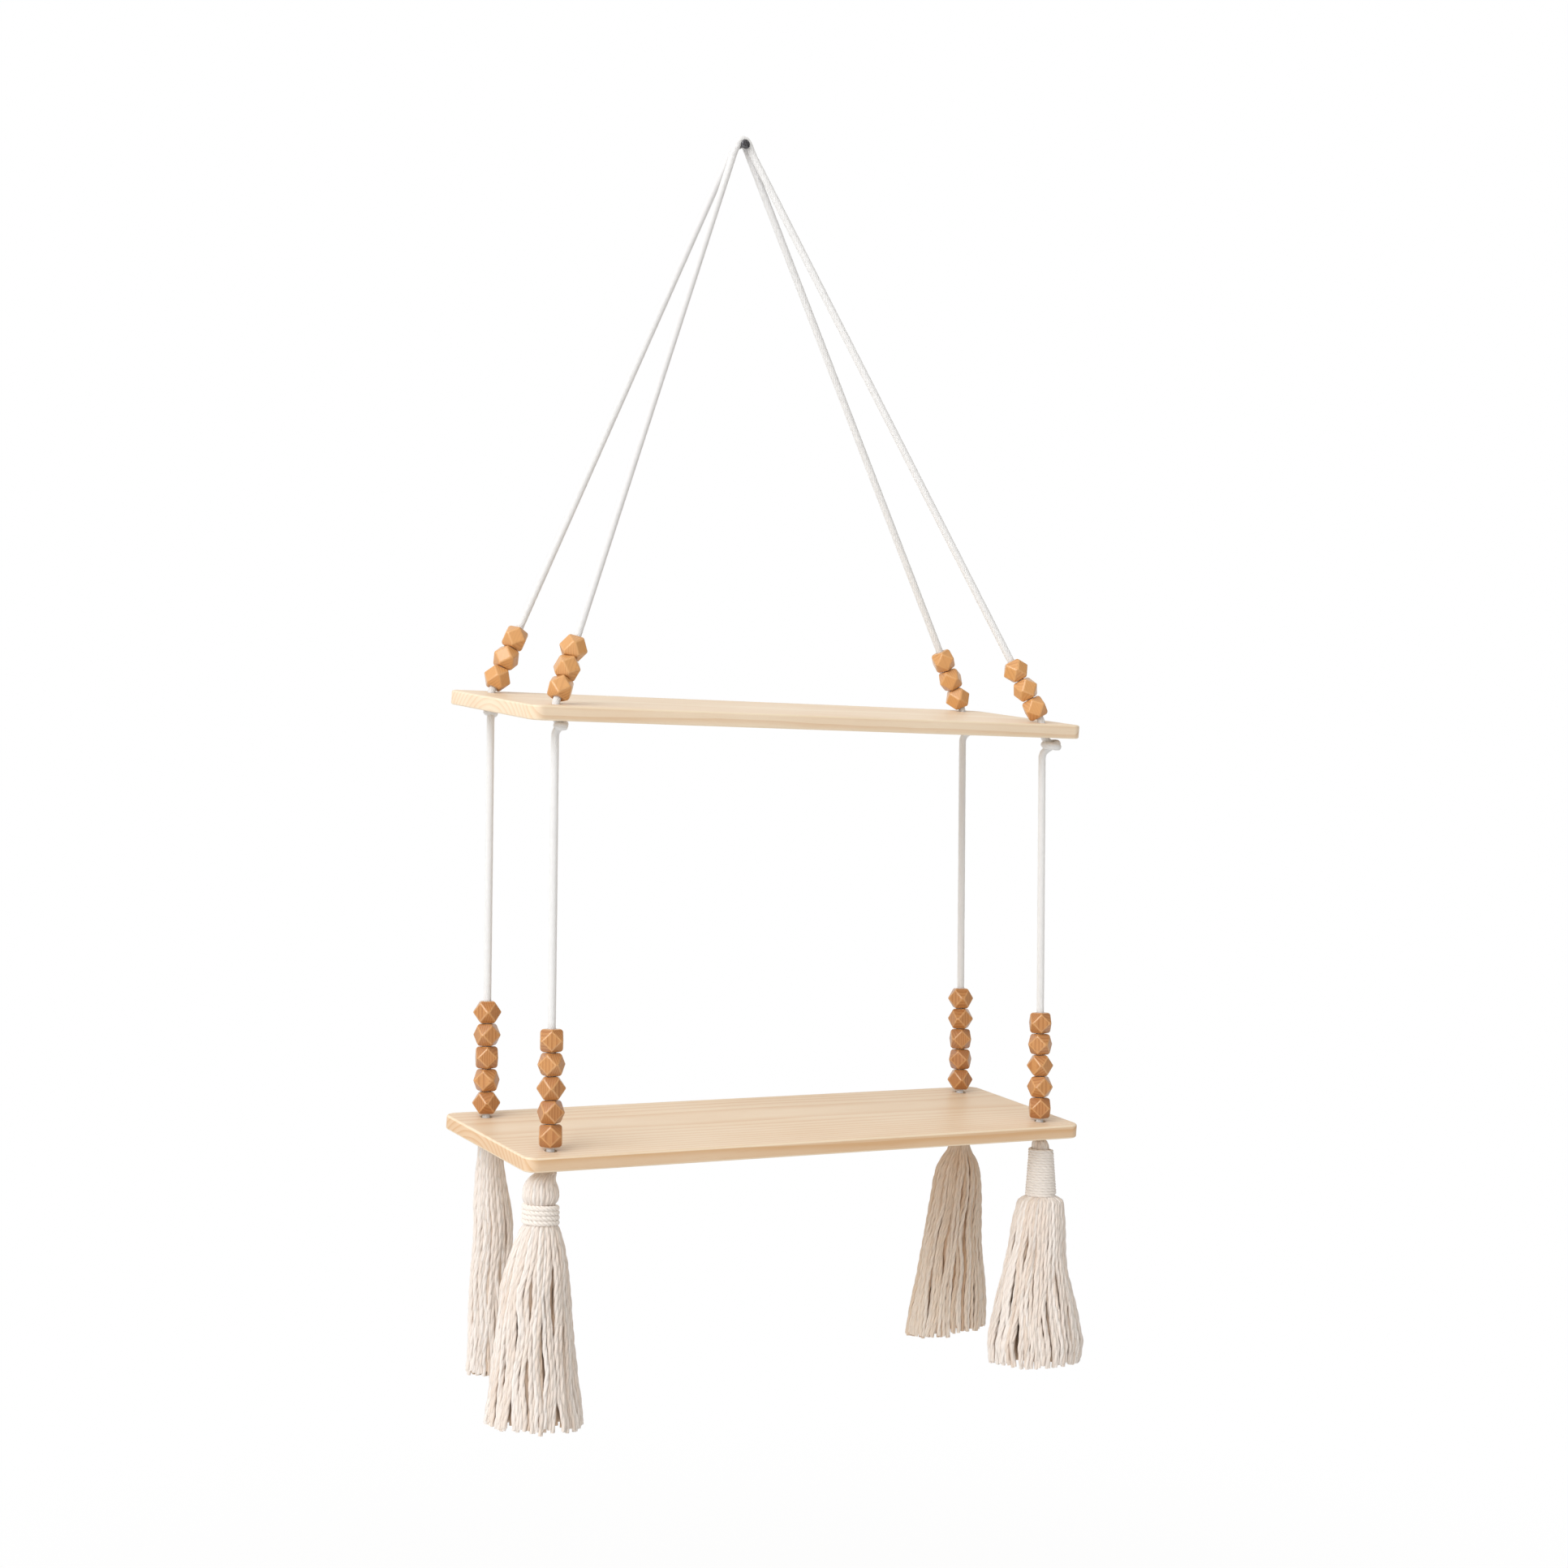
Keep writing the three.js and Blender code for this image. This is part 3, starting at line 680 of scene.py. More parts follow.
@dataclass(frozen=True)
class Wood(Finish):
    """Planed or turned wood, with growth rings about a pith and fine pores along the grain."""

    early: int
    late: int
    worn: int
    ring_width: float
    ring_share: float
    pore_share: float
    patch_share: float
    warp: float
    coat: float
    roughness: float
    pore_scale: float = 1400.0
    pore_from: float = 0.52
    pore_to: float = 0.78
    grain_stretch: float = 0.05
    warp_scales: tuple[float, float] = (4.0, 14.0)
    patch_scales: tuple[float, float] = (9.0, 30.0)
    ring_rise: tuple[float, float] = (0.35, 0.92)
    ring_fall: tuple[float, float] = (0.93, 1.0)
    tone_share: float = 0.9
    tone_middle: float = 0.5
    dark_start: float = 0.22
    worn_share: float = 0.45
    pore_dullness: float = 0.12
    patch_dullness: float = 0.08
    coat_roughness: float = 0.25
    relief: float = 0.00006
    relief_share: float = 0.6
    ring_relief: float = 0.3

    def paint(self, plan: Plan, surface: bpy.types.Node) -> None:
        """Paints rings, pores, patches, a tone for each piece, which also carries painted shade on board
        sides and bead ends, and lighter worn edges.

        Args:
            plan: The material's tree.
            surface: The shader.
        """
        length, across, deep = plan.parts(plan.attribute("grain", "Vector"))

        def spread(scales: tuple[float, float], detail: float, rough: float = 0.5) -> Signal:
            """Noise at one scale along the grain and another across it.

            Args:
                scales: Features to the metre along the grain and across it.
                detail: How many finer layers the noise has.
                rough: How strong they are.

            Returns:
                The noise.
            """
            along, beside = scales
            where = plan.joined(length * along, across * beside, deep * beside)
            return plan.noise(where, 1.0, detail, rough)

        sway = spread(self.warp_scales, detail=3.0, rough=0.55)
        reach = plan.measured("LENGTH", plan.joined(0.0, across, deep))
        rings = (reach + sway * self.warp) / self.ring_width
        saw = plan.maths("FRACT", rings)
        line = plan.between(*self.ring_rise, saw) * (1.0 - plan.between(*self.ring_fall, saw))
        strip = plan.joined(length * self.grain_stretch, across, deep)
        pores = plan.noise(strip, self.pore_scale, detail=3.0, rough=0.65)
        streak = plan.between(self.pore_from, self.pore_to, pores)
        patches = spread(self.patch_scales, detail=2.0) - 0.5
        dark = line * self.ring_share + streak * self.pore_share + patches * self.patch_share
        # The tone attribute holds each piece's own tone, plus painted shade on board sides and bead
        # ends.
        grain_tone_and_shade = dark + (plan.attribute("tone") - self.tone_middle) * self.tone_share
        share = plan.maths("MAXIMUM", plan.maths("MINIMUM", grain_tone_and_shade + self.dark_start, 1.0), 0.0)
        base = plan.mixed(share, linear(self.early), linear(self.late))
        edged = plan.mixed(plan.attribute("wear") * self.worn_share, base, linear(self.worn))
        dull = streak * self.pore_dullness + patches * self.patch_dullness
        height = (1.0 - streak) + line * self.ring_relief
        self.feed(
            plan,
            surface,
            {
                "Base Color": edged,
                "Roughness": dull + self.roughness,
                "Coat Weight": self.coat,
                "Coat Roughness": self.coat_roughness,
                "Normal": self.bumped(plan, height, self.relief, self.relief_share),
            },
        )


@dataclass(frozen=True)
class Steel(Finish):
    """Dull drawn steel with fine scratches and darker patches."""

    bright: int
    dark: int
    patch_scale: float = 700.0
    patch_from: float = 0.35
    patch_to: float = 0.7
    scratch_scale: float = 6000.0
    scratch_stretch: float = 0.08
    metal: float = 0.9
    roughness: float = 0.25
    patch_roughness: float = 0.25
    scratch_roughness: float = 0.1
    relief: float = 0.00003
    relief_share: float = 0.5

    def paint(self, plan: Plan, surface: bpy.types.Node) -> None:
        """Paints patches and scratches.

        Args:
            plan: The material's tree.
            surface: The shader.
        """
        place = plan.place()
        patches = plan.noise(place, self.patch_scale, detail=3.0, rough=0.6)
        x, y, z = plan.parts(place)
        scratches = plan.noise(plan.joined(x, y * self.scratch_stretch, z), self.scratch_scale)
        share = plan.between(self.patch_from, self.patch_to, patches)
        uneven = patches * self.patch_roughness + scratches * self.scratch_roughness
        self.feed(
            plan,
            surface,
            {
                "Base Color": plan.mixed(share, linear(self.bright), linear(self.dark)),
                "Metallic": self.metal,
                "Roughness": uneven + self.roughness,
                "Normal": self.bumped(plan, scratches, self.relief, self.relief_share),
            },
        )


@dataclass(frozen=True)
class Finishes:
    """The finishes of all pieces."""

    board: bpy.types.Material
    bead: bpy.types.Material
    rope: bpy.types.Material
    tassel: bpy.types.Material
    browner: bpy.types.Material
    wrap: bpy.types.Material
    nail: bpy.types.Material

    @classmethod
    def mixed_up(cls) -> Finishes:
        """Makes every finish.

        Returns:
            All of them by name.
        """
        return cls(
            board=Wood(
                "pale_board_wood",
                early=0xF1DFC7,
                late=0xD7AF84,
                worn=0xF3E5CC,
                ring_width=0.0042,
                ring_share=0.34,
                pore_share=0.16,
                patch_share=0.5,
                warp=0.006,
                coat=0.0,
                roughness=0.42,
            ).material(),
            bead=Wood(
                "honey_bead_wood",
                early=0xD69D5F,
                late=0xA96B33,
                worn=0xE3B27A,
                ring_width=0.0016,
                ring_share=0.42,
                pore_share=0.3,
                patch_share=0.4,
                warp=0.002,
                coat=0.6,
                roughness=0.36,
                coat_roughness=0.16,
            ).material(),
            rope=Cotton(
                "white_cotton_rope",
                colour=0xF2F3F5,
                shade=0xE7E8EA,
                deep=0xD4D2CF,
                relief=0.00012,
            ).material(),
            tassel=Cotton(
                "natural_cotton_yarn",
                colour=0xF2EBE6,
                shade=0xDBC8B8,
                deep=0xCAAD8F,
                tone_share=0.7,
                deep_share=0.7,
            ).material(),
            # The rear-right tassel's yarn: a browner, darker copy of the yarn, as painted shadow of the
            # lower board over it.
            browner=Cotton(
                "painted_shadow_cotton_yarn",
                colour=0xF5EBE1,
                shade=0xDDC4AB,
                deep=0xB88E65,
                tone_share=0.7,
                deep_share=0.7,
            ).material(),
            wrap=Cotton("wound_cotton", colour=0xF2EBE5, shade=0xE6DCD3, deep=0xCFBFAE).material(),
            nail=Steel("nail_steel", bright=0x77777C, dark=0x3E3E42).material(),
        )


@dataclass
class Knot:
    """An overhand knot, tied loose and drawn tight step by step."""

    rope_radius: float = 0.0025
    half_height: float = 0.020
    slack_share: float = 9.0
    spacing_share: float = 0.2
    loose_reach: float = 2.05
    loose_height: float = 0.28
    loose_size_share: float = 0.66
    loose_fineness: int = 40
    rounds: int = 1600
    grow_share: float = 0.6
    first_width_share: float = 0.3
    neighbour_share: float = 1.6
    push_share: float = 0.5
    straighten_share: float = 0.12
    stretch_rounds: int = 6
    stretch_share: float = 0.25

    def loose(self, count: int) -> np.ndarray:
        """The knot before it is drawn tight: a long trefoil between two ends.

        Args:
            count: How many points it gets.

        Returns:
            The points, from the top down.
        """
        t = np.linspace(self.loose_reach, -self.loose_reach, self.loose_fineness * count)
        line = np.stack([t**3 - 3 * t, t**4 - 4 * t**2, self.loose_height * (t**5 - 10 * t)], axis=1)
        line -= line.mean(axis=0)
        line[:, 1] -= line[0, 1]
        line *= self.loose_size_share * self.rope_radius
        if line[0, 2] < line[-1, 2]:
            line = line[::-1]
        ends = np.array([UP * self.half_height, -UP * self.half_height])
        return even(np.vstack([ends[:1], line, ends[1:]]), length_of(line) / count)

    def tight(self) -> np.ndarray:
        """Draws the knot tight.

        Returns:
            The rope's axis through the knot, from the top down.
        """
        diameter = 2 * self.rope_radius
        length = 2 * self.half_height + self.slack_share * diameter
        count = round(length / (diameter * self.spacing_share)) + 1
        rest = length / (count - 1)
        start = self.loose(count)
        points = even(start, length_of(start) / (count - 1))
        index = np.arange(count)
        apart = np.abs(index[:, None] - index[None, :]) * rest
        for step in range(self.rounds):
            grown = min(1.0, (step + 1) / (self.rounds * self.grow_share))
            wide = diameter * (self.first_width_share + (1 - self.first_width_share) * grown)
            self.push_apart(points, apart, wide)
            self.draw_out(points, rest)
        return points

    def push_apart(self, points: np.ndarray, apart: np.ndarray, wide: float) -> None:
        """Moves the rope's turns off each other.

        Args:
            points: The rope's axis, which is changed.
            apart: How much rope lies between each two points.
            wide: How wide the rope is by now.
        """
        gap = points[:, None, :] - points[None, :, :]
        distance = np.linalg.norm(gap, axis=2) + TINY
        close = (distance < wide) & (apart > wide * self.neighbour_share)
        push = np.where(close, (wide - distance) / distance, 0.0)[:, :, None] * gap
        touching = np.maximum(close.sum(axis=1), 1)[:, None]
        points += self.push_share * push.sum(axis=1) / touching

    def draw_out(self, points: np.ndarray, rest: float) -> None:
        """Straightens the rope a little and brings its length back, with the ends held.

        Args:
            points: The rope's axis, which is changed.
            rest: How far apart its points are to be.
        """
        ends = np.array([UP * self.half_height, -UP * self.half_height])
        points[1:-1] += self.straighten_share * (0.5 * (points[:-2] + points[2:]) - points[1:-1])
        for _ in range(self.stretch_rounds):
            span = points[1:] - points[:-1]
            size = np.linalg.norm(span, axis=1, keepdims=True)
            pull = self.stretch_share * (size - rest) / size * span
            points[:-1] += pull
            points[1:] -= pull
            points[[0, -1]] = ends


@dataclass
class Ropes:
    """The two ropes over the nail, the four links with their knots, and the ends in the tassels."""

    places: Places
    tree: ShapeTree
    finish: bpy.types.Material
    radius: float = 0.0025
    nail_shank_radius: float = 0.0015
    seat_gap: float = 0.0006
    crown_from_wall: float = 0.0115
    crown_pitch: float = 0.0054
    junction_drop: float = 0.009
    crown_steps: int = 16
    point_step: float = 0.001
    bend_reach: int = 3
    knot_height_share: float = 0.30
    knot_top_clear: float = 0.0006
    knot_exit: float = 0.0010
    knot_right_deg: float = -31.0
    knot_behind_deg: float = 59.0
    knot_scatter: float = 0.15
    tail_knot_depth: float = 0.020
    tail_knot_share: float = 0.60
    tail_end: float = 0.004
    tail_aside: float = -0.0050
    cord_points: float = 0.003
    tied_share: float = 0.3
    turns_share: float = 1.5
    crown_bend: tuple[float, float] = (0.004, 0.008)
    link_bend: tuple[float, float] = (0.003, 0.012)
    tail_bend: tuple[float, float] = (0.002, 0.006)
    row_phase: float = 0.2
    link_phase: float = 0.1
    tail_phase: float = 0.3
    lay: Lay = Lay(
        strand_count=12,
        strand_radius=0.00098,
        lay_radius=0.00172,
        lay_length=0.0340,
        step=0.0014,
        sides=7,
    )
    knot: np.ndarray = field(init=False)

    def __post_init__(self) -> None:
        """Ties the knot that every link and every end uses."""
        self.knot = Knot(self.radius).tight()

    def bight(self, row: int) -> np.ndarray:
        """The way of one rope from its left hole over the nail to its right hole.

        Args:
            row: 1 for the rear rope and -1 for the front one.

        Returns:
            The points of its axis.
        """
        left, right = [corner for corner in Corner if corner.row == row]
        crown_radius = self.nail_shank_radius + self.seat_gap + self.radius
        y = -self.crown_from_wall - (0 if row > 0 else self.crown_pitch)
        foot = self.places.foot(Tier.UPPER, right)
        reach = math.hypot(foot[0], foot[2])
        slope = math.atan2(foot[0], -foot[2]) - math.asin(crown_radius / reach)

        def leaving(side: int) -> np.ndarray:
            """Where the straight leg of one side meets the crown.

            Args:
                side: -1 on the left and 1 on the right.

            Returns:
                The point.
            """
            x = crown_radius * math.cos(slope) + self.junction_drop * math.sin(slope)
            z = crown_radius * math.sin(slope) - self.junction_drop * math.cos(slope)
            return np.array([side * x, y, z])

        angles = np.linspace(math.pi - slope, slope, self.crown_steps)
        arc = [(crown_radius * math.cos(angle), y, crown_radius * math.sin(angle)) for angle in angles]
        corners = [
            self.places.hole(Tier.UPPER, left),
            self.places.foot(Tier.UPPER, left),
            leaving(-1),
            *arc,
            leaving(1),
            self.places.foot(Tier.UPPER, right),
            self.places.hole(Tier.UPPER, right),
        ]
        return softened(even(np.array(corners), self.point_step), self.bend_reach)

    def knot_at(self, top: np.ndarray, turn: float, share: float) -> np.ndarray:
        """The knot's points, hung under a point.

        Args:
            top: The highest point of the knot's turns.
            turn: How far round the knot is turned, in radians.
            share: Its size beside the knot as tied.

        Returns:
            The points of the knotted part, from the top down.
        """
        out = np.hypot(self.knot[:, 0], self.knot[:, 1])
        tied = self.knot[out > self.tied_share * self.radius] * share
        tied = tied * np.array([1.0, 1.0, self.knot_height_share])
        x, y, z = tied.T
        sine, cosine = math.sin(turn), math.cos(turn)
        swung = np.stack([-y * cosine - x * sine, -y * sine + x * cosine, z], axis=1)
        turns = swung[np.hypot(swung[:, 0], swung[:, 1]) > self.turns_share * self.radius]
        highest = turns[:, 2].max()
        return swung + top - UP * (highest + self.radius)

    def link(self, corner: Corner) -> np.ndarray:
        """The way of a link from the upper hole through its knot to the lower hole.

        Args:
            corner: The corner.

        Returns:
            The points of its axis.
        """
        upper = self.places.hole(Tier.UPPER, corner)
        lower = self.places.hole(Tier.LOWER, corner)
        under = upper - UP * (self.places.plumb / 2 + self.knot_top_clear)
        side = self.knot_behind_deg if corner is Corner.REAR_LEFT else self.knot_right_deg
        turn = math.radians(side) + self.knot_scatter * math.sin(3 * corner.turn)
        knot = self.knot_at(under, turn, corner.knot_share)
        keep = knot[:, 2] < upper[2]
        straight = np.array([lower[0], lower[1], knot[:, 2].min() - self.knot_exit])
        corners = np.vstack([upper[None], knot[keep], straight[None], lower[None]])
        return softened(even(corners, self.point_step), self.bend_reach)

    def tail(self, corner: Corner) -> np.ndarray:
        """The way of a rope's end from the lower hole into its stopper knot.

        Args:
            corner: The corner.

        Returns:
            The points of its axis.
        """
        lower = self.places.hole(Tier.LOWER, corner)
        pivot = self.places.tassel_pivot(corner)
        middle = pivot - UP * self.tail_knot_depth
        if corner is Corner.FRONT_LEFT:
            middle = middle + RIGHT * self.tail_aside
        knot = self.knot_at(middle, corner.turn, self.tail_knot_share)
        knot = knot + middle - (knot.min(axis=0) + knot.max(axis=0)) / 2
        end = np.array([middle[0], middle[1], knot[:, 2].min() - self.tail_end])
        corners = np.vstack([lower[None], knot, end[None]])
        return softened(even(corners, self.point_step), self.bend_reach)

    def made(self, name: str, points: np.ndarray, phase: float) -> bpy.types.Object:
        """Lays up one length of rope.

        Args:
            name: The piece's name.
            points: The rope's axis.
            phase: How far round its strands start, in turns.

        Returns:
            The piece.
        """
        guide = Guide(points, phase=phase)
        piece = self.tree.made(name, guide_mesh(name, [guide]), self.lay.values(self.finish))
        return reported(piece)

    @staticmethod
    def bent(
        piece: bpy.types.Object, upper: str, lower: str, pivot: np.ndarray, reach: tuple[float, float]
    ) -> None:
        """Bakes a rope's placement into its mesh; the rope does not bend between bodies.

        Args:
            piece: The rope.
            upper: The body above; not used.
            lower: The body below; not used.
            pivot: Where the one swings under the other; not used.
            reach: How far above and below the pivot the bend goes; not used.
        """
        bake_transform(piece)

    def build(self) -> None:
        """Makes all lengths of rope."""
        over = self.places.joint_place("pull_out")
        for row, label in ((1, "rear"), (-1, "front")):
            points = self.bight(row)
            piece = self.made(f"rope_{label}", points, self.row_phase * row)
            self.bent(piece, "crown", "upper_tier", over, self.crown_bend)
            legs = [f"rope_leg_{corner.label}" for corner in Corner if corner.row == row]
            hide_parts(f"rope_crown_{label}", *legs)
        for corner in Corner:
            self.build_link(corner)

    def build_link(self, corner: Corner) -> None:
        """Makes a link with its knot, and the rope's end below it.

        Args:
            corner: The corner.
        """
        points = self.link(corner)
        link = self.made(f"rope_lower_{corner.label}", points, self.link_phase * corner.turn)
        pivot = self.places.link_pivot(corner)
        self.bent(link, "upper_tier", f"link_{corner.label}", pivot, self.link_bend)
        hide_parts(f"rope_link_{corner.label}")
        tail = self.made(f"rope_end_{corner.label}", self.tail(corner), self.tail_phase)
        pivot = self.places.tassel_pivot(corner)
        self.bent(tail, "lower_tier", f"tassel_{corner.label}", pivot, self.tail_bend)
        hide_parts(f"tassel_tail_{corner.label}")


def ringed(mesh: bmesh.types.BMesh, points: Sequence[Sequence[float]]) -> list[bmesh.types.BMVert]:
    """Adds a ring of points to a mesh."""
    return [mesh.verts.new(point) for point in points]


def skinned(mesh: bmesh.types.BMesh, rings: Sequence[Sequence[bmesh.types.BMVert]]) -> None:
    """Joins rings of points, one to the next, with faces.

    Args:
        mesh: The mesh.
        rings: The rings, with as many points each.
    """
    for first, second in zip(rings, rings[1:]):
        for k in range(len(first)):
            after = (k + 1) % len(first)
            mesh.faces.new((first[k], first[after], second[after], second[k]))


def rim(ring: Sequence[bmesh.types.BMVert]) -> list[bmesh.types.BMEdge]:
    """The edges that go round a ring.

    Args:
        ring: Its points in order.

    Returns:
        The edges.
    """
    found = []
    for k, point in enumerate(ring):
        other = ring[(k + 1) % len(ring)]
        found += [edge for edge in point.link_edges if edge.other_vert(point) is other]
    return found


def circle(radius: float, sides: int) -> list[tuple[float, float]]:
    """Points evenly round a circle about zero."""
    angles = [FULL_TURN * k / sides for k in range(sides)]
    return [(radius * math.cos(angle), radius * math.sin(angle)) for angle in angles]


def smoothed(shape: bmesh.types.BMesh) -> None:
    """Turns a shape's faces outwards and shades them smoothly.

    Args:
        shape: The shape.
    """
    bmesh.ops.recalc_face_normals(shape, faces=shape.faces)
    for face in shape.faces:
        face.smooth = True


def finished(shape: bmesh.types.BMesh, name: str, finish: bpy.types.Material) -> bpy.types.Mesh:
    """Turns a shape that is done into a mesh.

    Args:
        shape: The shape, which is freed.
        name: The mesh's name.
        finish: The mesh's finish.

    Returns:
        The mesh.
    """
    made = bpy.data.meshes.new(name)
    shape.to_mesh(made)
    shape.free()
    made.materials.append(finish)
    return made


def fitted(piece: bpy.types.Object, body: str, node: str) -> None:
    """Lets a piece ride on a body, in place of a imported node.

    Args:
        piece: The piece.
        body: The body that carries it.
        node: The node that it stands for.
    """
    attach(piece, body)
    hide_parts(node)
    reported(piece)


def rounded(radius: float, steps: int) -> list[tuple[float, float]]:
    """A quarter round from a flat face over to a side: how far in, and how far down."""
    angles = np.linspace(0, math.pi / 2, steps + 1)
    return [(radius * (1 - math.sin(angle)), radius * (1 - math.cos(angle))) for angle in angles]


def set_value(mesh: bpy.types.Mesh, label: str, values: np.ndarray | float) -> None:
    """Stores one number at each point of a mesh.

    Args:
        mesh: The mesh.
        label: The attribute's name.
        values: The numbers, or one for all points.
    """
    attribute = mesh.attributes.get(label) or mesh.attributes.new(label, "FLOAT", "POINT")
    count = len(mesh.vertices)
    attribute.data.foreach_set("value", np.broadcast_to(values, count).astype(np.float32))


def set_vectors(mesh: bpy.types.Mesh, label: str, values: np.ndarray) -> None:
    """Stores one vector at each point of a mesh."""
    attribute = mesh.attributes.new(label, "FLOAT_VECTOR", "POINT")
    attribute.data.foreach_set("vector", values.astype(np.float32).ravel())


def places_of(mesh: bpy.types.Mesh) -> np.ndarray:
    """The places of a mesh's points.

    Args:
        mesh: The mesh.

    Returns:
        One row for each point.
    """
    flat = np.zeros(3 * len(mesh.vertices), np.float32)
    mesh.vertices.foreach_get("co", flat)
    return flat.reshape(-1, 3).astype(float)


@dataclass
class Boards:
    """The two boards: rounded corners, softened edges and four holes with eased rims."""

    places: Places
    finish: bpy.types.Material
    length: float = 0.450
    depth: float = 0.140
    corner_radius: float = 0.009
    corner_steps: int = 12
    edge_radius: float = 0.0014
    edge_steps: int = 5
    flat_margin: float = 0.0008
    hole_from_end: float = 0.025
    hole_from_edge: float = 0.018
    hole_radius: float = 0.004
    rim_radius: float = 0.0007
    hole_sides: int = 32
    pith: tuple[float, float, float] = (0.0, 0.004, 0.052)
    pith_step: tuple[float, float, float] = (0.7, -0.022, 0.009)
    tone: float = 0.36
    tone_step: float = 0.10
    side_tone: float = 0.02
    side_tone_step: float = 0.48
    worn_from: float = 0.00001
    round_share: float = 0.9

    def outline(self, inset: float, z: float) -> list[tuple[float, float, float]]:
        """The board's outline, drawn in by some distance, at one height.

        Args:
            inset: How far in.
            z: The height.

        Returns:
            Its points, counterclockwise as seen from above.
        """
        x, y = self.length / 2 - self.corner_radius, self.depth / 2 - self.corner_radius
        radius = self.corner_radius - inset
        points = []
        for quarter, (side, row) in enumerate(((1, 1), (-1, 1), (-1, -1), (1, -1))):
            for k in range(self.corner_steps + 1):
                angle = (quarter + k / self.corner_steps) * math.pi / 2
                across, back = radius * math.cos(angle), radius * math.sin(angle)
                points.append((side * x + across, row * y + back, z))
        return points

    def hole_ring(self, corner: Corner, radius: float, z: float) -> list[tuple[float, float, float]]:
        """A ring round one hole at one height.

        Args:
            corner: The corner.
            radius: The ring's radius.
            z: The height.

        Returns:
            Its points.
        """
        x = corner.side * (self.length / 2 - self.hole_from_end)
        y = corner.row * (self.depth / 2 - self.hole_from_edge)
        return [(x + dx, y + dy, z) for dx, dy in circle(radius, self.hole_sides)]

    def sections(self, radius: float) -> list[tuple[float, float]]:
        """How far in and at which height each ring of an edge lies, from the top down.

        Args:
            radius: The edge's rounding.

        Returns:
            The distance and the height of each ring.
        """
        thickness = self.places.board_thickness
        upper = [(radius + self.flat_margin, 0.0)]
        upper += [(inset, -down) for inset, down in rounded(radius, self.edge_steps)]
        return upper + [(inset, -thickness - z) for inset, z in reversed(upper)]

    def shape(self) -> bpy.types.Mesh:
        """One board about the middle of its top face.

        Returns:
            Its mesh.
        """
        shape = bmesh.new()
        edge = [ringed(shape, self.outline(inset, z)) for inset, z in self.sections(self.edge_radius)]
        skinned(shape, edge)
        tops, bottoms = rim(edge[0]), rim(edge[-1])
        for corner in Corner:
            rings = []
            for inset, z in self.sections(self.rim_radius):
                rings.append(ringed(shape, self.hole_ring(corner, self.hole_radius + inset, z)))
            skinned(shape, rings)
            tops += rim(rings[0])
            bottoms += rim(rings[-1])
        for edges in (tops, bottoms):
            bmesh.ops.triangle_fill(shape, use_beauty=True, use_dissolve=False, edges=edges)
        smoothed(shape)
        return finished(shape, "board", self.finish)

    def down(self, local: np.ndarray) -> np.ndarray:
        """How far each point lies below the nearer of the two flat faces."""
        return np.minimum(-local[:, 2], self.places.board_thickness + local[:, 2])

    def wear(self, local: np.ndarray) -> np.ndarray:
        """How worn each point is: the rounds of the edges more than the faces."""
        down = self.down(local)
        return np.where((down > self.worn_from) & (down < self.edge_radius * self.round_share), 1.0, 0.0)

    def sides(self, local: np.ndarray) -> np.ndarray:
        """1 for the points of the narrow sides, which are painted darker: mostly painted shade, a little
        the sawn grain's own colour.
        """
        return np.where(self.down(local) > self.edge_radius * self.round_share, 1.0, 0.0)

    def build(self) -> None:
        """Makes both boards."""
        turned = Matrix.Rotation(self.places.lean, 4, "X")
        lift = turned @ Vector((0, 0, self.places.board_thickness / 2))
        for number, tier in enumerate(Tier):
            low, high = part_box(f"{tier.label}_board")
            mesh = self.shape()
            local = places_of(mesh)
            set_value(mesh, "wear", self.wear(local))
            # The narrow sides get painted shade, far more on the lower board than on the upper.
            side_tone = self.side_tone + self.side_tone_step * number
            set_value(mesh, "tone", self.tone + self.tone_step * number + side_tone * self.sides(local))
            set_vectors(mesh, "grain", local + np.array(self.pith) + np.array(self.pith_step) * number)
            mesh.transform(Matrix.Translation((low + high) / 2 + lift) @ turned)
            piece = shown(f"{tier.label}_board_planed", mesh)
            fitted(piece, f"{tier.label}_tier", f"{tier.label}_board")


def threaded_bead_tree() -> ShapeTree:
    """The tree that threads one bead on a rope: it turns and places the bead that it is given.

    Returns:
        The tree.
    """
    vectors = dict.fromkeys(("Place", "Turn", "Pattern"), "NodeSocketVector")
    plan = ShapeTree("threaded bead", {**vectors, "Tone": "NodeSocketFloat"})
    pattern = plan.vector("ADD", plan.node("GeometryNodeInputPosition"), plan.given("Pattern"))
    grained = plan.save(plan.given(plan.GUIDE), "lathe", pattern, "FLOAT_VECTOR")
    toned = plan.save(grained, "tone", plan.given("Tone"))
    inputs = {"Geometry": toned, "Translation": plan.given("Place"), "Rotation": plan.given("Turn")}
    plan.close(plan.node("GeometryNodeTransform", inputs=inputs))
    return plan


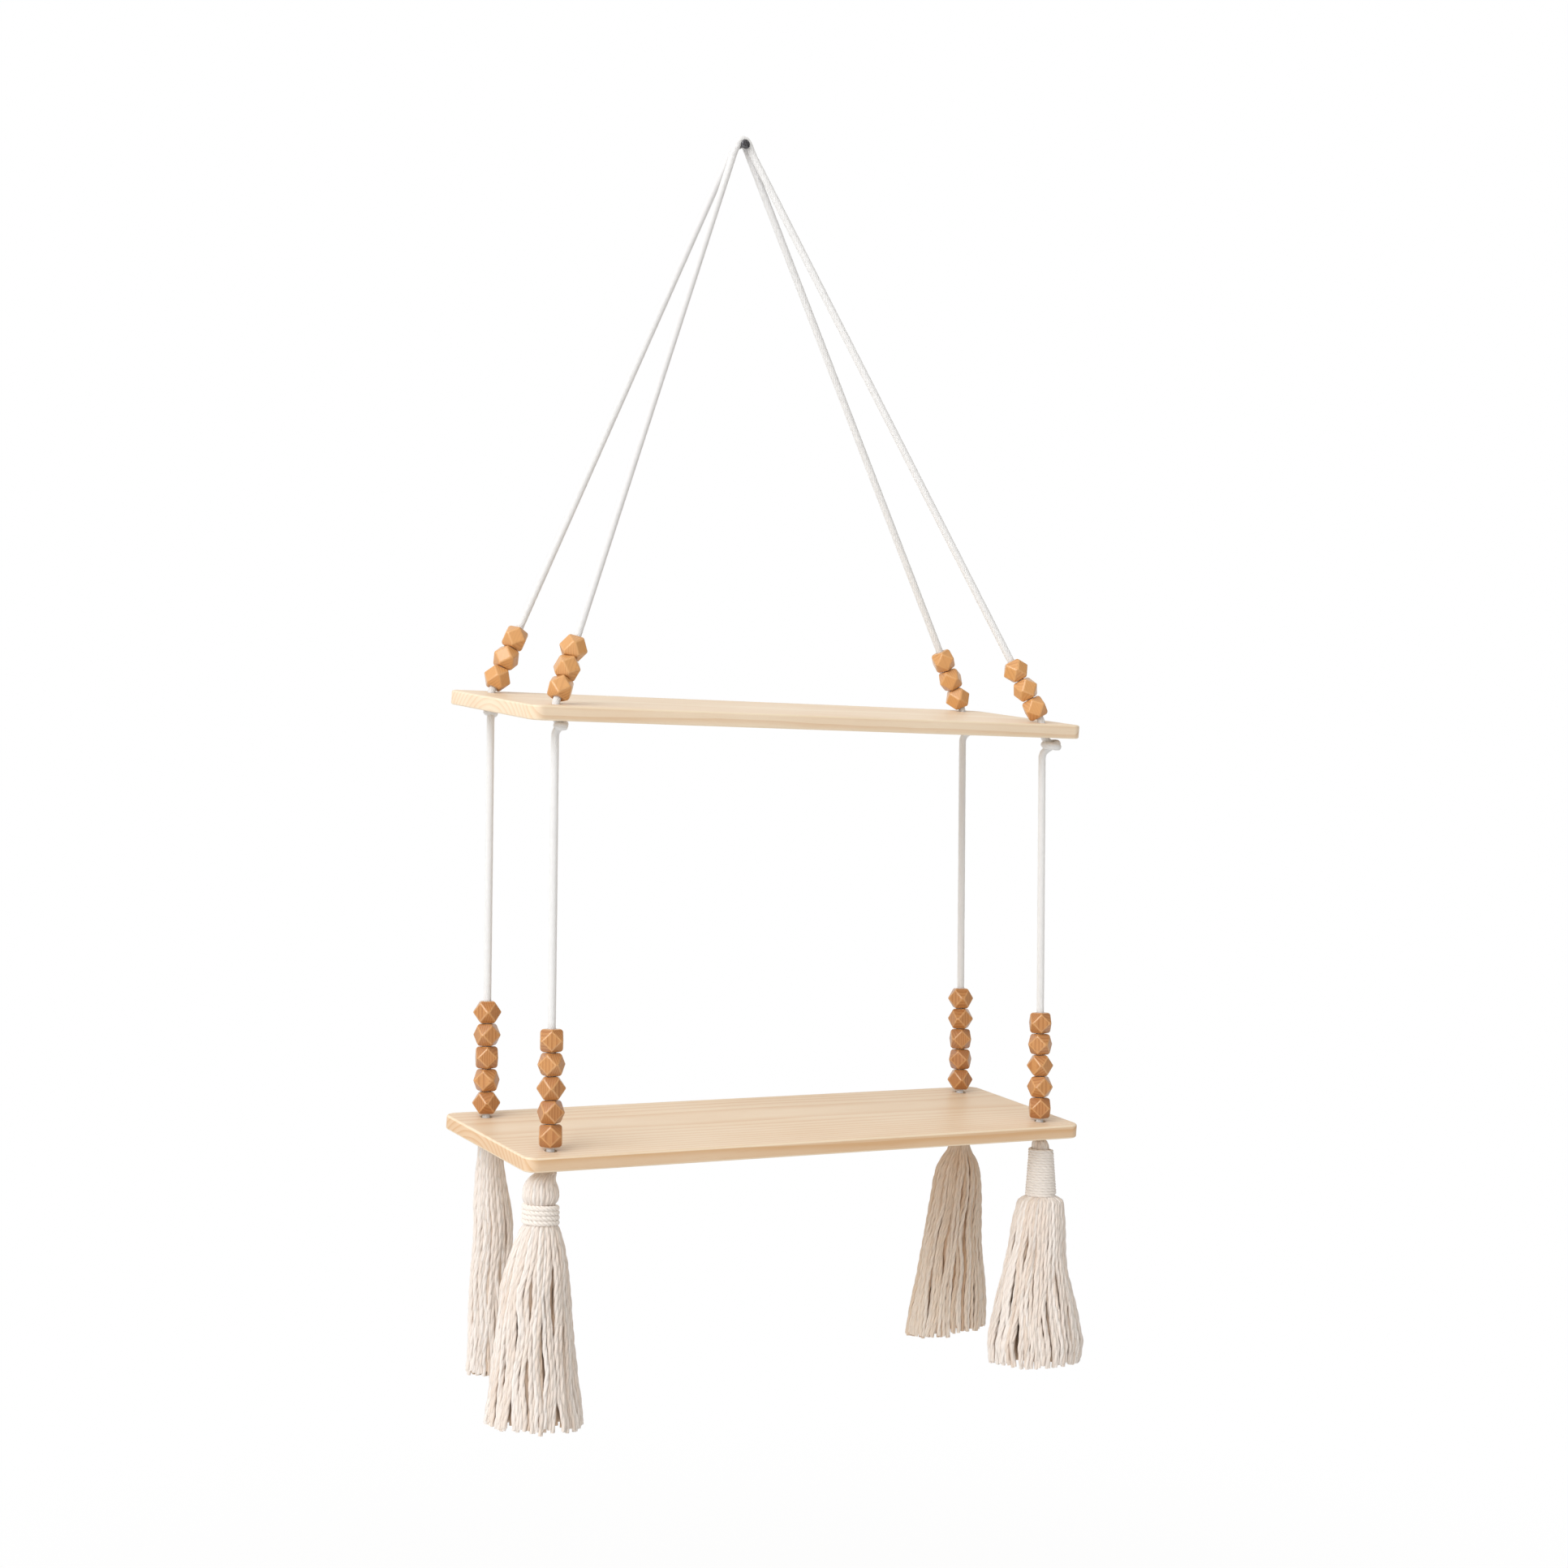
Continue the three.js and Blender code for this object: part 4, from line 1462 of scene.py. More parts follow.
@dataclass
class Beads:
    """The faceted beads: a cube with its corners cut off, softened edges and a drilled bore."""

    places: Places
    finish: bpy.types.Material
    height: float = 0.0153
    corner_share: float = 1.85
    bore_radius: float = 0.0030
    bore_rim: float = 0.0005
    bore_margin: float = 0.00005
    bore_sides: int = 24
    edge_radius: float = 0.0009
    edge_steps: int = 3
    facet_margin: float = 0.0003
    pitch_gap: float = 0.0004
    turn_deg: float = 23.0
    sway_deg: float = 8.0
    seat_gap: float = 0.0003
    tone_spread: float = 0.13
    tone_limits: tuple[float, float] = (-0.1, 0.95)
    joint_tone: float = 0.5
    joint_from_share: float = 0.55
    flat_area_share: float = 1 / 12
    end_slope: float = 0.99
    on_facet: float = 0.00001
    flat_deg: float = 1.0
    grain_steps: int = 40
    pith: tuple[float, float, float] = (0.0, 0.006, 0.004)
    seed: int = 11

    def corners(self) -> list[tuple[float, float, float]]:
        """The points of the faceted bead.

        Returns:
            Its 24 corners.
        """
        half = self.height / 2
        short = half * (self.corner_share - 1)
        found = []
        for far_axis, near_axis in permutations(range(3), 2):
            for far, near in product((-half, half), (-short, short)):
                point = [0.0, 0.0, 0.0]
                point[far_axis] = far
                point[near_axis] = near
                found.append(tuple(point))
        return found

    def shape(self) -> bpy.types.Mesh:
        """One bead about its own middle, with its bore along Z.

        Returns:
            Its mesh.
        """
        bead = bmesh.new()
        hull = bmesh.ops.convex_hull(bead, input=ringed(bead, self.corners()))
        loose = [item for item in hull["geom_unused"] if isinstance(item, bmesh.types.BMVert)]
        bmesh.ops.delete(bead, geom=loose, context="VERTS")
        flat = math.radians(self.flat_deg)
        bmesh.ops.dissolve_limit(bead, angle_limit=flat, verts=bead.verts[:], edges=bead.edges[:])
        bmesh.ops.bevel(
            bead,
            geom=bead.edges[:],
            offset=self.edge_radius,
            offset_type="OFFSET",
            segments=self.edge_steps,
            profile=0.5,
            affect="EDGES",
            clamp_overlap=True,
        )
        facet_area = self.height**2 * self.flat_area_share
        facets = [face for face in bead.faces if face.calc_area() > facet_area]
        ends = [face for face in facets if abs(face.normal.z) > self.end_slope]
        sides = [face for face in facets if face not in ends]
        bmesh.ops.inset_individual(bead, faces=sides, thickness=self.facet_margin)
        self.drill(bead, ends)
        smoothed(bead)
        mesh = finished(bead, "bead", self.finish)
        self.mark(mesh)
        return mesh

    def drill(self, bead: bmesh.types.BMesh, ends: Sequence[bmesh.types.BMFace]) -> None:
        """Cuts the bore through the two end facets, with eased rims.

        Args:
            bead: The bead.
            ends: Its two end facets, which are replaced.
        """
        profile = [(self.bore_rim + self.bore_margin, 0.0), *rounded(self.bore_rim, self.edge_steps)]
        half = self.height / 2
        sections = [(inset, half - down) for inset, down in profile]
        sections += [(inset, -z) for inset, z in reversed(sections)]
        rings = []
        for inset, z in sections:
            round_bore = circle(self.bore_radius + inset, self.bore_sides)
            rings.append(ringed(bead, [(x, y, z) for x, y in round_bore]))
        skinned(bead, rings)
        for face in ends:
            edges = list(face.edges) + rim(rings[0] if face.normal.z > 0 else rings[-1])
            bmesh.ops.delete(bead, geom=[face], context="FACES_ONLY")
            bmesh.ops.triangle_fill(bead, use_beauty=True, use_dissolve=False, edges=edges)

    def mark(self, mesh: bpy.types.Mesh) -> None:
        """Stores how worn each point of the bead is: the edges more than the facets.

        Args:
            mesh: The bead.
        """
        local = np.abs(places_of(mesh))
        half = self.height / 2
        square = np.max(local, axis=1) > half - self.on_facet
        cut = local.sum(axis=1) > half * self.corner_share - 2 * self.on_facet
        bore = np.hypot(local[:, 0], local[:, 1]) < self.bore_radius + self.bore_rim
        set_value(mesh, "wear", np.where(square | cut | bore, 0.0, 1.0))

    def seat(self, tier: Tier, rise: np.ndarray) -> float:
        """How far along its rope the first bead's middle stands from the board.

        Args:
            tier: The board that it stands on.
            rise: The rope's direction.

        Returns:
            The distance.
        """
        half = self.height / 2
        lean = self.places.lean
        upright = float(rise @ np.array([0, -math.sin(lean), math.cos(lean)]))
        tilt = math.sqrt(1 - upright**2)
        face_radius = half * (self.corner_share - 1)
        sway = math.radians(self.sway_deg) if tier is Tier.LOWER else 0.0
        rocking = face_radius * math.sin(sway) + self.places.plumb / 2 * (1 - math.cos(sway))
        return (half * upright + face_radius * tilt + rocking + self.seat_gap) / upright

    def build(self) -> None:
        """Threads every bead."""
        tree = threaded_bead_tree()
        chance = np.random.default_rng(self.seed)
        shape = self.shape()
        end_share = np.abs(places_of(shape)[:, 2]) * 2 / self.height
        near_end = ease((end_share - self.joint_from_share) / (1 - self.joint_from_share))
        for tier, corner in product(Tier, Corner):
            foot, rise = self.places.foot(tier, corner), self.places.rise(tier, corner)
            upright = Vector(UP).rotation_difference(Vector(rise))
            for k in range(tier.bead_count):
                along = self.seat(tier, rise) + k * (self.height + self.pitch_gap)
                turned = upright @ Quaternion(UP, corner.turn + math.radians(self.turn_deg) * k)
                pattern = chance.uniform(0.0, 1.0, 3) + 1.0
                tone = float(np.clip(chance.normal(tier.bead_tone, self.tone_spread), *self.tone_limits))
                node = f"{tier.label}_bead_{corner.label}_{k + 1}"
                values = {
                    "Place": tuple(foot + rise * along),
                    "Turn": tuple(turned.to_euler()),
                    "Pattern": tuple(pattern),
                    "Tone": tone,
                    ShapeTree.FINISH: self.finish,
                }
                piece = tree.made(f"{node}_turned", shape.copy(), values)
                self.turn_grain(piece.data)
                # The ends of each bead are painted darker: painted shade in the joints between beads.
                set_value(piece.data, "tone", tone + self.joint_tone * near_end)
                fitted(piece, node, node)

    def turn_grain(self, mesh: bpy.types.Mesh) -> None:
        """Lays the bead's grain along its bore, as the wood's finish reads it.

        Args:
            mesh: The bead.
        """
        flat = np.zeros(3 * len(mesh.vertices), np.float32)
        mesh.attributes["lathe"].data.foreach_get("vector", flat)
        lathe = flat.reshape(-1, 3)
        whole = np.floor(lathe[0] * self.grain_steps) / self.grain_steps
        near = np.stack([lathe[:, 2], lathe[:, 0] - whole[0], lathe[:, 1] - whole[1]], axis=1)
        set_vectors(mesh, "grain", near + np.array(self.pith))
        mesh.attributes.remove(mesh.attributes["lathe"])


@dataclass(frozen=True)
class Wrap:
    """A cord wound round a tassel's neck, by its outer radius at each end."""

    start: float
    end: float
    top_radius: float
    end_radius: float
    loop_count: int
    lay: Lay


@dataclass(frozen=True)
class TasselShape:
    """The sizes of one tassel, measured from its pivot down."""

    length: float
    head: tuple[tuple[float, float], ...]
    skirt_start: float
    skirt_top_radius: float
    skirt_radius: float
    depth_share: float
    drift: float
    hem_slant: float
    skirt_shares: tuple[tuple[float, float], ...]
    drift_share: float = 1.0
    head_shift: float = 0.0
    head_shade: float = 0.0
    blur: float = 0.0022
    wrap: Wrap | None = None
    plumb_end: float = 0.0252
    rim_drop: float = 0.001
    rim_radius: float = 0.0046
    flattened_share: float = 0.5
    head_shift_drop: float = 0.012

    def profile(self) -> tuple[np.ndarray, np.ndarray]:
        """The depths and radii of the bundle from the top down.

        Returns:
            The depths, and the radii at them.
        """
        rings = [(self.rim_drop, self.rim_radius), *self.head]
        rings.append((self.skirt_start, self.skirt_top_radius))
        for down, flare in self.skirt_shares:
            depth = self.skirt_start + (self.length - self.skirt_start) * down
            radius = self.skirt_top_radius + (self.skirt_radius - self.skirt_top_radius) * flare
            rings.append((depth, radius))
        listed = np.array(rings)
        return listed[:, 0], listed[:, 1]

    def radius_at(self, depth: np.ndarray) -> np.ndarray:
        """The bundle's radius at each depth, with its corners rounded.

        Args:
            depth: The depths.

        Returns:
            The radii.
        """
        depths, radii = self.profile()
        shares = (-1, -0.5, 0, 0.5, 1)
        nearby = [np.interp(depth + self.blur * share, depths, radii) for share in shares]
        return np.mean(nearby, axis=0)

    def axis_at(self, depth: np.ndarray) -> np.ndarray:
        """How far to the right the bundle's axis lies at each depth.

        Args:
            depth: The depths.

        Returns:
            The distances.
        """
        leaning = np.clip(self.down_at(depth) / self.drift_share, 0, 1)
        shifted = self.head_shift * ease(depth / self.head_shift_drop)
        return shifted + (self.drift - self.head_shift) * leaning

    def down_at(self, depth: np.ndarray) -> np.ndarray:
        """How far below the plumb part each depth is, as a share of the rest."""
        return np.clip((depth - self.plumb_end) / (self.length - self.plumb_end), 0, 1)

    def flat_at(self, depth: np.ndarray) -> np.ndarray:
        """How deep the bundle is beside its width at each depth."""
        return 1 + (self.depth_share - 1) * np.clip(self.down_at(depth) / self.flattened_share, 0, 1)


@dataclass(frozen=True)
class Locks:
    """The locks that a tassel's yarns gather in, with one value of each kind for each lock."""

    angle: np.ndarray
    phase: np.ndarray
    wave: np.ndarray
    out: np.ndarray
    cut: np.ndarray


@dataclass
class Tassels:
    """The four tassels: yarns that fall from the head in locks, and cord round two necks."""

    places: Places
    tree: ShapeTree
    finish: bpy.types.Material
    browner_finish: bpy.types.Material
    wrap_finish: bpy.types.Material
    outer_lay: Lay = Lay(
        strand_count=2,
        strand_radius=0.00128,
        lay_radius=0.00042,
        lay_length=0.0200,
        step=0.0024,
        sides=6,
    )
    inner_lay: Lay = Lay(
        strand_count=1,
        strand_radius=0.0017,
        lay_radius=0.0,
        lay_length=0.0115,
        step=0.0050,
        sides=5,
    )
    outer_count: int = 104
    inner_count: int = 110
    inner_short: float = 0.003
    yarn_width: float = 0.0036
    yarn_scatter_share: float = 0.006
    yarn_cut: float = 0.0010
    yarn_wave: float = 0.0005
    yarn_wave_lengths: tuple[float, float] = (0.03, 0.06)
    bow_length_share: float = 1.4
    end_taper: float = 0.6
    tone_middle: float = 0.5
    tone_spread: float = 0.22
    lock_count: int = 19
    lock_scatter_share: float = 0.28
    lock_pull: float = 0.17
    lock_pull_end_share: float = 0.5
    lock_wave: float = 0.0012
    lock_wave_lengths: tuple[float, float] = (0.055, 0.10)
    lock_out: float = 0.0009
    lock_out_shares: tuple[float, float] = (-1.0, 0.35)
    lock_cut: float = 0.0008
    hem_from_share: float = 0.6
    hem_open_share: float = 0.35
    loose_share: float = 0.35
    least_wide: float = 0.006
    least_radius: float = 0.0006
    least_radius_step: float = 0.0015
    crowded_share: float = 0.62
    crowded_radius: float = 0.007
    loose_radius: float = 0.019
    packed_share: float = 0.92
    layer_share: float = 0.78
    layer_limit: float = 2.2
    core_margin_share: float = 1.15
    core_power: float = 0.4
    shade_share: float = 0.9
    head_inside: float = 0.5
    head_shares: tuple[float, ...] = (0.45, 0.55, 0.75)
    head_rises: tuple[float, ...] = (-0.0070, -0.0030, -0.0006)
    guide_step: float = 0.003
    wrap_steps: int = 40
    wrap_tuck_share: float = 0.02
    wrap_phase: float = 0.25
    wrap_tone: float = 0.4
    seed: int = 5

    def shapes(self) -> dict[Corner, TasselShape]:
        """The sizes of the four tassels.

        Returns:
            The sizes by corner.
        """
        cord = Lay(
            strand_count=3,
            strand_radius=0.00106,
            lay_radius=0.00096,
            lay_length=0.009,
            step=0.001,
            sides=7,
        )
        thread = Lay(
            strand_count=2,
            strand_radius=0.00110,
            lay_radius=0.00020,
            lay_length=0.009,
            step=0.001,
            sides=7,
        )
        return {
            Corner.REAR_LEFT: TasselShape(
                length=0.166,
                head=((0.008, 0.008),),
                skirt_start=0.028,
                skirt_top_radius=0.0105,
                skirt_radius=0.0185,
                depth_share=0.75,
                drift=0.006,
                hem_slant=-0.003,
                skirt_shares=((0.16, 0.36), (0.25, 0.45), (0.6, 0.76), (1, 1)),
                drift_share=0.25,
                head_shift=0.0035,
            ),
            Corner.FRONT_LEFT: TasselShape(
                length=0.165,
                head=(
                    (0.003, 0.0075),
                    (0.008, 0.0106),
                    (0.015, 0.0126),
                    (0.0192, 0.0122),
                    (0.0202, 0.0092),
                    (0.0352, 0.0096),
                ),
                skirt_start=0.0370,
                skirt_top_radius=0.0128,
                skirt_radius=0.034,
                depth_share=0.9,
                drift=-0.010,
                hem_slant=-0.002,
                skirt_shares=((0.092, 0.22), (0.194, 0.39), (0.28, 0.49), (0.624, 0.69), (1, 1)),
                drift_share=0.3,
                head_shift=-0.0068,
                head_shift_drop=0.006,
                blur=0.0010,
                wrap=Wrap(
                    start=0.0195,
                    end=0.0361,
                    top_radius=0.0126,
                    end_radius=0.0129,
                    loop_count=4,
                    lay=cord,
                ),
                plumb_end=0.0362,
            ),
            Corner.REAR_RIGHT: TasselShape(
                length=0.169,
                head=((0.005, 0.0072), (0.030, 0.0078)),
                skirt_start=0.043,
                skirt_top_radius=0.0175,
                skirt_radius=0.036,
                depth_share=0.52,
                drift=-0.012,
                hem_slant=0.0025,
                skirt_shares=((0.09, 0.16), (0.28, 0.31), (0.55, 0.58), (0.82, 0.88), (1, 1)),
                head_shade=0.45,
                blur=0.0035,
            ),
            Corner.FRONT_RIGHT: TasselShape(
                length=0.162,
                head=((0.005, 0.0066), (0.0068, 0.0066), (0.0072, 0.0060), (0.0428, 0.0083)),
                skirt_start=0.0443,
                skirt_top_radius=0.0170,
                skirt_radius=0.0375,
                depth_share=0.9,
                drift=-0.003,
                hem_slant=0.0,
                skirt_shares=(
                    (0.133, 0.166),
                    (0.346, 0.31),
                    (0.49, 0.49),
                    (0.635, 0.707),
                    (0.88, 1),
                    (1, 0.93),
                ),
                drift_share=0.4,
                head_shift=0.0015,
                blur=0.0010,
                wrap=Wrap(
                    start=0.0062,
                    end=0.0432,
                    top_radius=0.0093,
                    end_radius=0.0118,
                    loop_count=17,
                    lay=thread,
                ),
                plumb_end=0.0431,
            ),
        }

    def inset(
        self, outer: bool, rank: float, wide: np.ndarray, flat: np.ndarray, width: np.ndarray
    ) -> np.ndarray:
        """How far inside the bundle's surface a yarn's axis runs.

        Args:
            outer: Whether the yarn is one of those that show.
            rank: Its place among its fellows, from 0 to 1.
            wide: The bundle's radius along the yarn.
            flat: The bundle's depth beside its width along the yarn.
            width: The yarn's width along it.

        Returns:
            The distance at each point of the yarn.
        """
        if outer:
            fitting = FULL_TURN * wide * np.sqrt(flat) / (width * self.packed_share)
            layer = np.clip(rank * self.outer_count / fitting - 1, 0, self.layer_limit)
            return width * (0.5 + self.layer_share * layer)
        within = np.maximum(wide - self.core_margin_share * width, 0.0)
        return wide - within * rank**self.core_power

    def squeeze(self, wide: np.ndarray) -> np.ndarray:
        """How thick a yarn is beside a free one, where the bundle has these radii."""
        crowd = np.clip((wide - self.crowded_radius) / (self.loose_radius - self.crowded_radius), 0, 1)
        return self.crowded_share + (1 - self.crowded_share) * crowd

    def pull(self, down: np.ndarray) -> np.ndarray:
        """How far a yarn is drawn round to its lock, as a share of the angle between them."""
        hem = ease((down - self.hem_from_share) / (1 - self.hem_from_share))
        return self.lock_pull * ease(down / self.lock_pull_end_share) * (1 - self.hem_open_share * hem)

    def locks(self, chance: np.random.Generator) -> Locks:
        """Draws where the locks hang and how each one waves.

        Args:
            chance: The source of the tassel's irregularities.

        Returns:
            The locks.
        """
        count = self.lock_count
        scatter = chance.uniform(-self.lock_scatter_share, self.lock_scatter_share, count)
        return Locks(
            angle=(np.arange(count) + scatter) / count * FULL_TURN,
            phase=chance.uniform(0, FULL_TURN, count),
            wave=chance.uniform(*self.lock_wave_lengths, count),
            out=chance.uniform(*self.lock_out_shares, count),
            cut=chance.normal(0.0, self.lock_cut, count),
        )

    def yarn(
        self, shape: TasselShape, locks: Locks, chance: np.random.Generator, outer: bool, number: int
    ) -> Guide:
        """One yarn about the tassel's pivot, from inside the head to the hem.

        Args:
            shape: The tassel's sizes.
            locks: The locks that the yarns gather in.
            chance: The source of the yarn's irregularities.
            outer: Whether the yarn is one of those that show.
            number: Its number among its fellows.

        Returns:
            The yarn's guide.
        """
        rank = (number + 0.5) / (self.outer_count if outer else self.inner_count)
        scatter = chance.uniform(-self.yarn_scatter_share, self.yarn_scatter_share)
        angle = FULL_TURN * ((number * GOLDEN_SHARE + scatter) % 1.0)
        away = (locks.angle - angle + math.pi) % FULL_TURN - math.pi
        lock = int(np.argmin(np.abs(away)))
        cut = locks.cut[lock] + chance.normal(0.0, self.yarn_cut)
        end = shape.length + cut - (0 if outer else self.inner_short)
        depth = np.append(np.arange(shape.rim_drop, end, self.guide_step), end)
        down, wide, flat = shape.down_at(depth), shape.radius_at(depth), shape.flat_at(depth)
        squeeze = self.squeeze(wide)
        width = self.yarn_width * squeeze
        inset = self.inset(outer, rank, wide, flat, width)
        swing = np.sin(FULL_TURN * depth / locks.wave[lock] + locks.phase[lock]) * self.lock_wave
        wave = chance.uniform(*self.yarn_wave_lengths)
        own = np.sin(FULL_TURN * depth / wave + chance.uniform(0, FULL_TURN)) * self.yarn_wave
        bow_length = wave * self.bow_length_share
        bow = np.cos(FULL_TURN * depth / bow_length + chance.uniform(0, FULL_TURN)) * self.yarn_wave
        loose = ease(down / self.loose_share)
        aside = loose * (swing + own) / np.maximum(wide, self.least_wide)
        turned = angle + self.pull(down) * away[lock] + aside
        radius = wide - inset + loose * (bow + locks.out[lock] * self.lock_out)
        radius = np.maximum(radius, self.least_radius + self.least_radius_step * rank)
        x = radius * np.cos(turned) + shape.axis_at(depth)
        y = radius * flat * np.sin(turned)
        z = shape.hem_slant * down**2 * np.cos(turned) - depth
        points = np.stack([x, y, z], axis=1)
        head = self.head(points[0])
        # Deeper yarns and the head's points get painted shade through inside; head_shade adds painted
        # shadow of the board over the head.
        deep = np.clip((inset - width * 0.5) / self.yarn_width, 0, 1)
        shaded = shape.head_shade * (1 - ease(down / self.shade_share))
        thickness = np.concatenate([np.full(len(head), squeeze[0]), squeeze])
        thickness[-1] *= self.end_taper
        return Guide(
            np.vstack([head, points]),
            thickness=thickness,
            inside=np.append(np.full(len(head), self.head_inside), np.clip(deep + shaded, 0, 1)),
            tone=float(np.clip(chance.normal(self.tone_middle, self.tone_spread), 0, 1)),
            phase=float(chance.uniform(0, 1)),
        )

    def yarns(self, shape: TasselShape, chance: np.random.Generator, outer: bool) -> list[Guide]:
        """The guides of one layer of a tassel, about its pivot.

        Args:
            shape: The tassel's sizes.
            chance: The source of its irregularities.
            outer: Whether these are the yarns that show, or those under them.

        Returns:
            One guide for each yarn.
        """
        locks = self.locks(chance)
        count = self.outer_count if outer else self.inner_count
        return [self.yarn(shape, locks, chance, outer, number) for number in range(count)]

    def head(self, start: np.ndarray) -> np.ndarray:
        """The few points by which a yarn comes up from inside the head and bends over its rim."""
        bend = zip(self.head_shares, self.head_rises)
        return np.stack([start * [share, share, 1.0] + UP * rise for share, rise in bend])

    def winding(self, shape: TasselShape) -> np.ndarray:
        """The axis of the cord round a neck, from the top down.

        Args:
            shape: The tassel's sizes.

        Returns:
            Its points about the tassel's pivot.
        """
        wrap = shape.wrap
        outer = wrap.lay.strand_radius + wrap.lay.lay_radius
        tuck = self.wrap_tuck_share
        share = np.linspace(0.0, 1.0, wrap.loop_count * self.wrap_steps + 1)
        depth = wrap.start + outer + (wrap.end - wrap.start - 2 * outer) * share
        radius = wrap.top_radius + (wrap.end_radius - wrap.top_radius) * share - outer
        radius = radius - outer * (ease((tuck - share) / tuck) + ease((share - (1 - tuck)) / tuck))
        angle = FULL_TURN * wrap.loop_count * share
        aside = shape.axis_at(depth)
        return np.stack([radius * np.cos(angle) + aside, radius * np.sin(angle), -depth], axis=1)

    def made(
        self,
        name: str,
        guides: Iterable[Guide],
        lay: Lay,
        finish: bpy.types.Material,
        body: str,
        node: str,
    ) -> None:
        """Makes one piece of a tassel.

        Args:
            name: The piece's name.
            guides: The lines that its strands follow.
            lay: How each strand is laid up.
            finish: The piece's finish.
            body: The body that it rides on.
            node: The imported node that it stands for.
        """
        piece = self.tree.made(name, guide_mesh(name, guides), lay.values(finish))
        fitted(piece, body, node)

    def build(self) -> None:
        """Makes the four tassels."""
        for number, (corner, shape) in enumerate(self.shapes().items()):
            pivot = self.places.tassel_pivot(corner)
            body = f"tassel_{corner.label}"
            chance = np.random.default_rng(self.seed + number)
            # The rear-right tassel takes the browner copy of the yarn: painted shadow of the lower
            # board.
            finish = self.browner_finish if corner is Corner.REAR_RIGHT else self.finish
            for label, outer, lay in (("yarns", True, self.outer_lay), ("core", False, self.inner_lay)):
                guides = self.yarns(shape, chance, outer)
                for guide in guides:
                    guide.points = guide.points + pivot
                self.made(f"{body}_{label}", guides, lay, finish, body, body)
            if shape.wrap:
                cord = Guide(self.winding(shape) + pivot, tone=self.wrap_tone, phase=self.wrap_phase)
                node = f"tassel_wrap_{corner.label}"
                self.made(f"{body}_winding", [cord], shape.wrap.lay, self.wrap_finish, body, node)


@dataclass
class Nail:
    """The wire nail: a slightly crowned head, a round shank and a cut point."""

    finish: bpy.types.Material
    head_radius: float = 0.0035
    head_thickness: float = 0.0016
    head_crown: float = 0.0005
    shank_radius: float = 0.0015
    point_length: float = 0.005
    neck_drop: float = 0.0006
    edge_ease: float = 0.0002
    crown_shares: tuple[float, ...] = (0.3, 0.6, 0.82)
    edge_shares: tuple[tuple[float, float], ...] = ((0.95, 1.15), (1.0, 1.9))
    back_shares: tuple[float, float] = (0.99, 0.93)
    neck_share: float = 1.25
    point_shares: tuple[float, float] = (0.5, 0.08)
    point_middle_share: float = 0.45
    sides: int = 40

    def profile(self, front: float, tip: float) -> list[tuple[float, float]]:
        """The nail's radius and place along its axis, from the head's crown to the point.

        Args:
            front: Where the head's front is.
            tip: Where the point ends.

        Returns:
            The radius and the place of each ring.
        """
        head, shank, crown = self.head_radius, self.shank_radius, self.head_crown
        back = front + self.head_thickness
        outer, inner = self.back_shares
        middle, end = self.point_shares
        return [
            *((head * share, front + crown * share**2) for share in self.crown_shares),
            *((head * share, front + crown * down) for share, down in self.edge_shares),
            (head * outer, back - self.edge_ease),
            (head * inner, back),
            (shank * self.neck_share, back),
            (shank, back + self.neck_drop),
            (shank, tip - self.point_length),
            (shank * middle, tip - self.point_length * self.point_middle_share),
            (shank * end, tip - self.edge_ease),
        ]

    def build(self) -> None:
        """Makes the nail where the frame has it."""
        low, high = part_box("wall_nail")
        shape = bmesh.new()
        rings = []
        for radius, y in self.profile(low.y, high.y):
            rings.append(ringed(shape, [(x, y, z) for x, z in circle(radius, self.sides)]))
        skinned(shape, rings)
        for ring, y in ((rings[0], low.y), (rings[-1], high.y)):
            middle = shape.verts.new((0, y, 0))
            for k, point in enumerate(ring):
                shape.faces.new((point, ring[(k + 1) % self.sides], middle))
        smoothed(shape)
        piece = shown("wall_nail_turned", finished(shape, "nail", self.finish))
        fitted(piece, "nail", "wall_nail")


class StagePlan(Plan):
    """The tree of a finish for the stage, which shows plain white to the camera."""

    def __init__(self, name: str) -> None:
        """Starts a finish without a shader.

        Args:
            name: The finish's name.
        """
        self.finish = bpy.data.materials.new(name)
        self.finish.use_nodes = True
        super().__init__(self.finish.node_tree)
        self.tree.nodes.remove(self.tree.nodes["Principled BSDF"])

    def clear(self) -> Signal:
        """A shader that lets all light through."""
        return self.node("ShaderNodeBsdfTransparent", inputs={"Color": WHITE})

    def glow(self) -> Signal:
        """A shader that shows white."""
        return self.node("ShaderNodeEmission", inputs={"Color": WHITE, "Strength": 1.0})

    def behind(self) -> Signal:
        """1 where a face is seen from its back, and 0 elsewhere."""
        return self.node("ShaderNodeNewGeometry", output="Backfacing")

    def blended(self, share: Signal, first: Signal, second: Signal) -> Signal:
        """A shader between two others."""
        return self.node("ShaderNodeMixShader", inputs={0: share, 1: first, 2: second})

    def laid_on(self, name: str, points: Iterable[Sequence[float]], shader: Signal) -> None:
        """Puts one flat face with this finish on the stage.

        Args:
            name: The face's name.
            points: Its corners.
            shader: The shader that ends the tree.
        """
        self.tree.links.new(shader.socket, self.tree.nodes["Material Output"].inputs["Surface"])
        flat = bmesh.new()
        flat.faces.new(ringed(flat, list(points)))
        shown(name, finished(flat, name, self.finish))


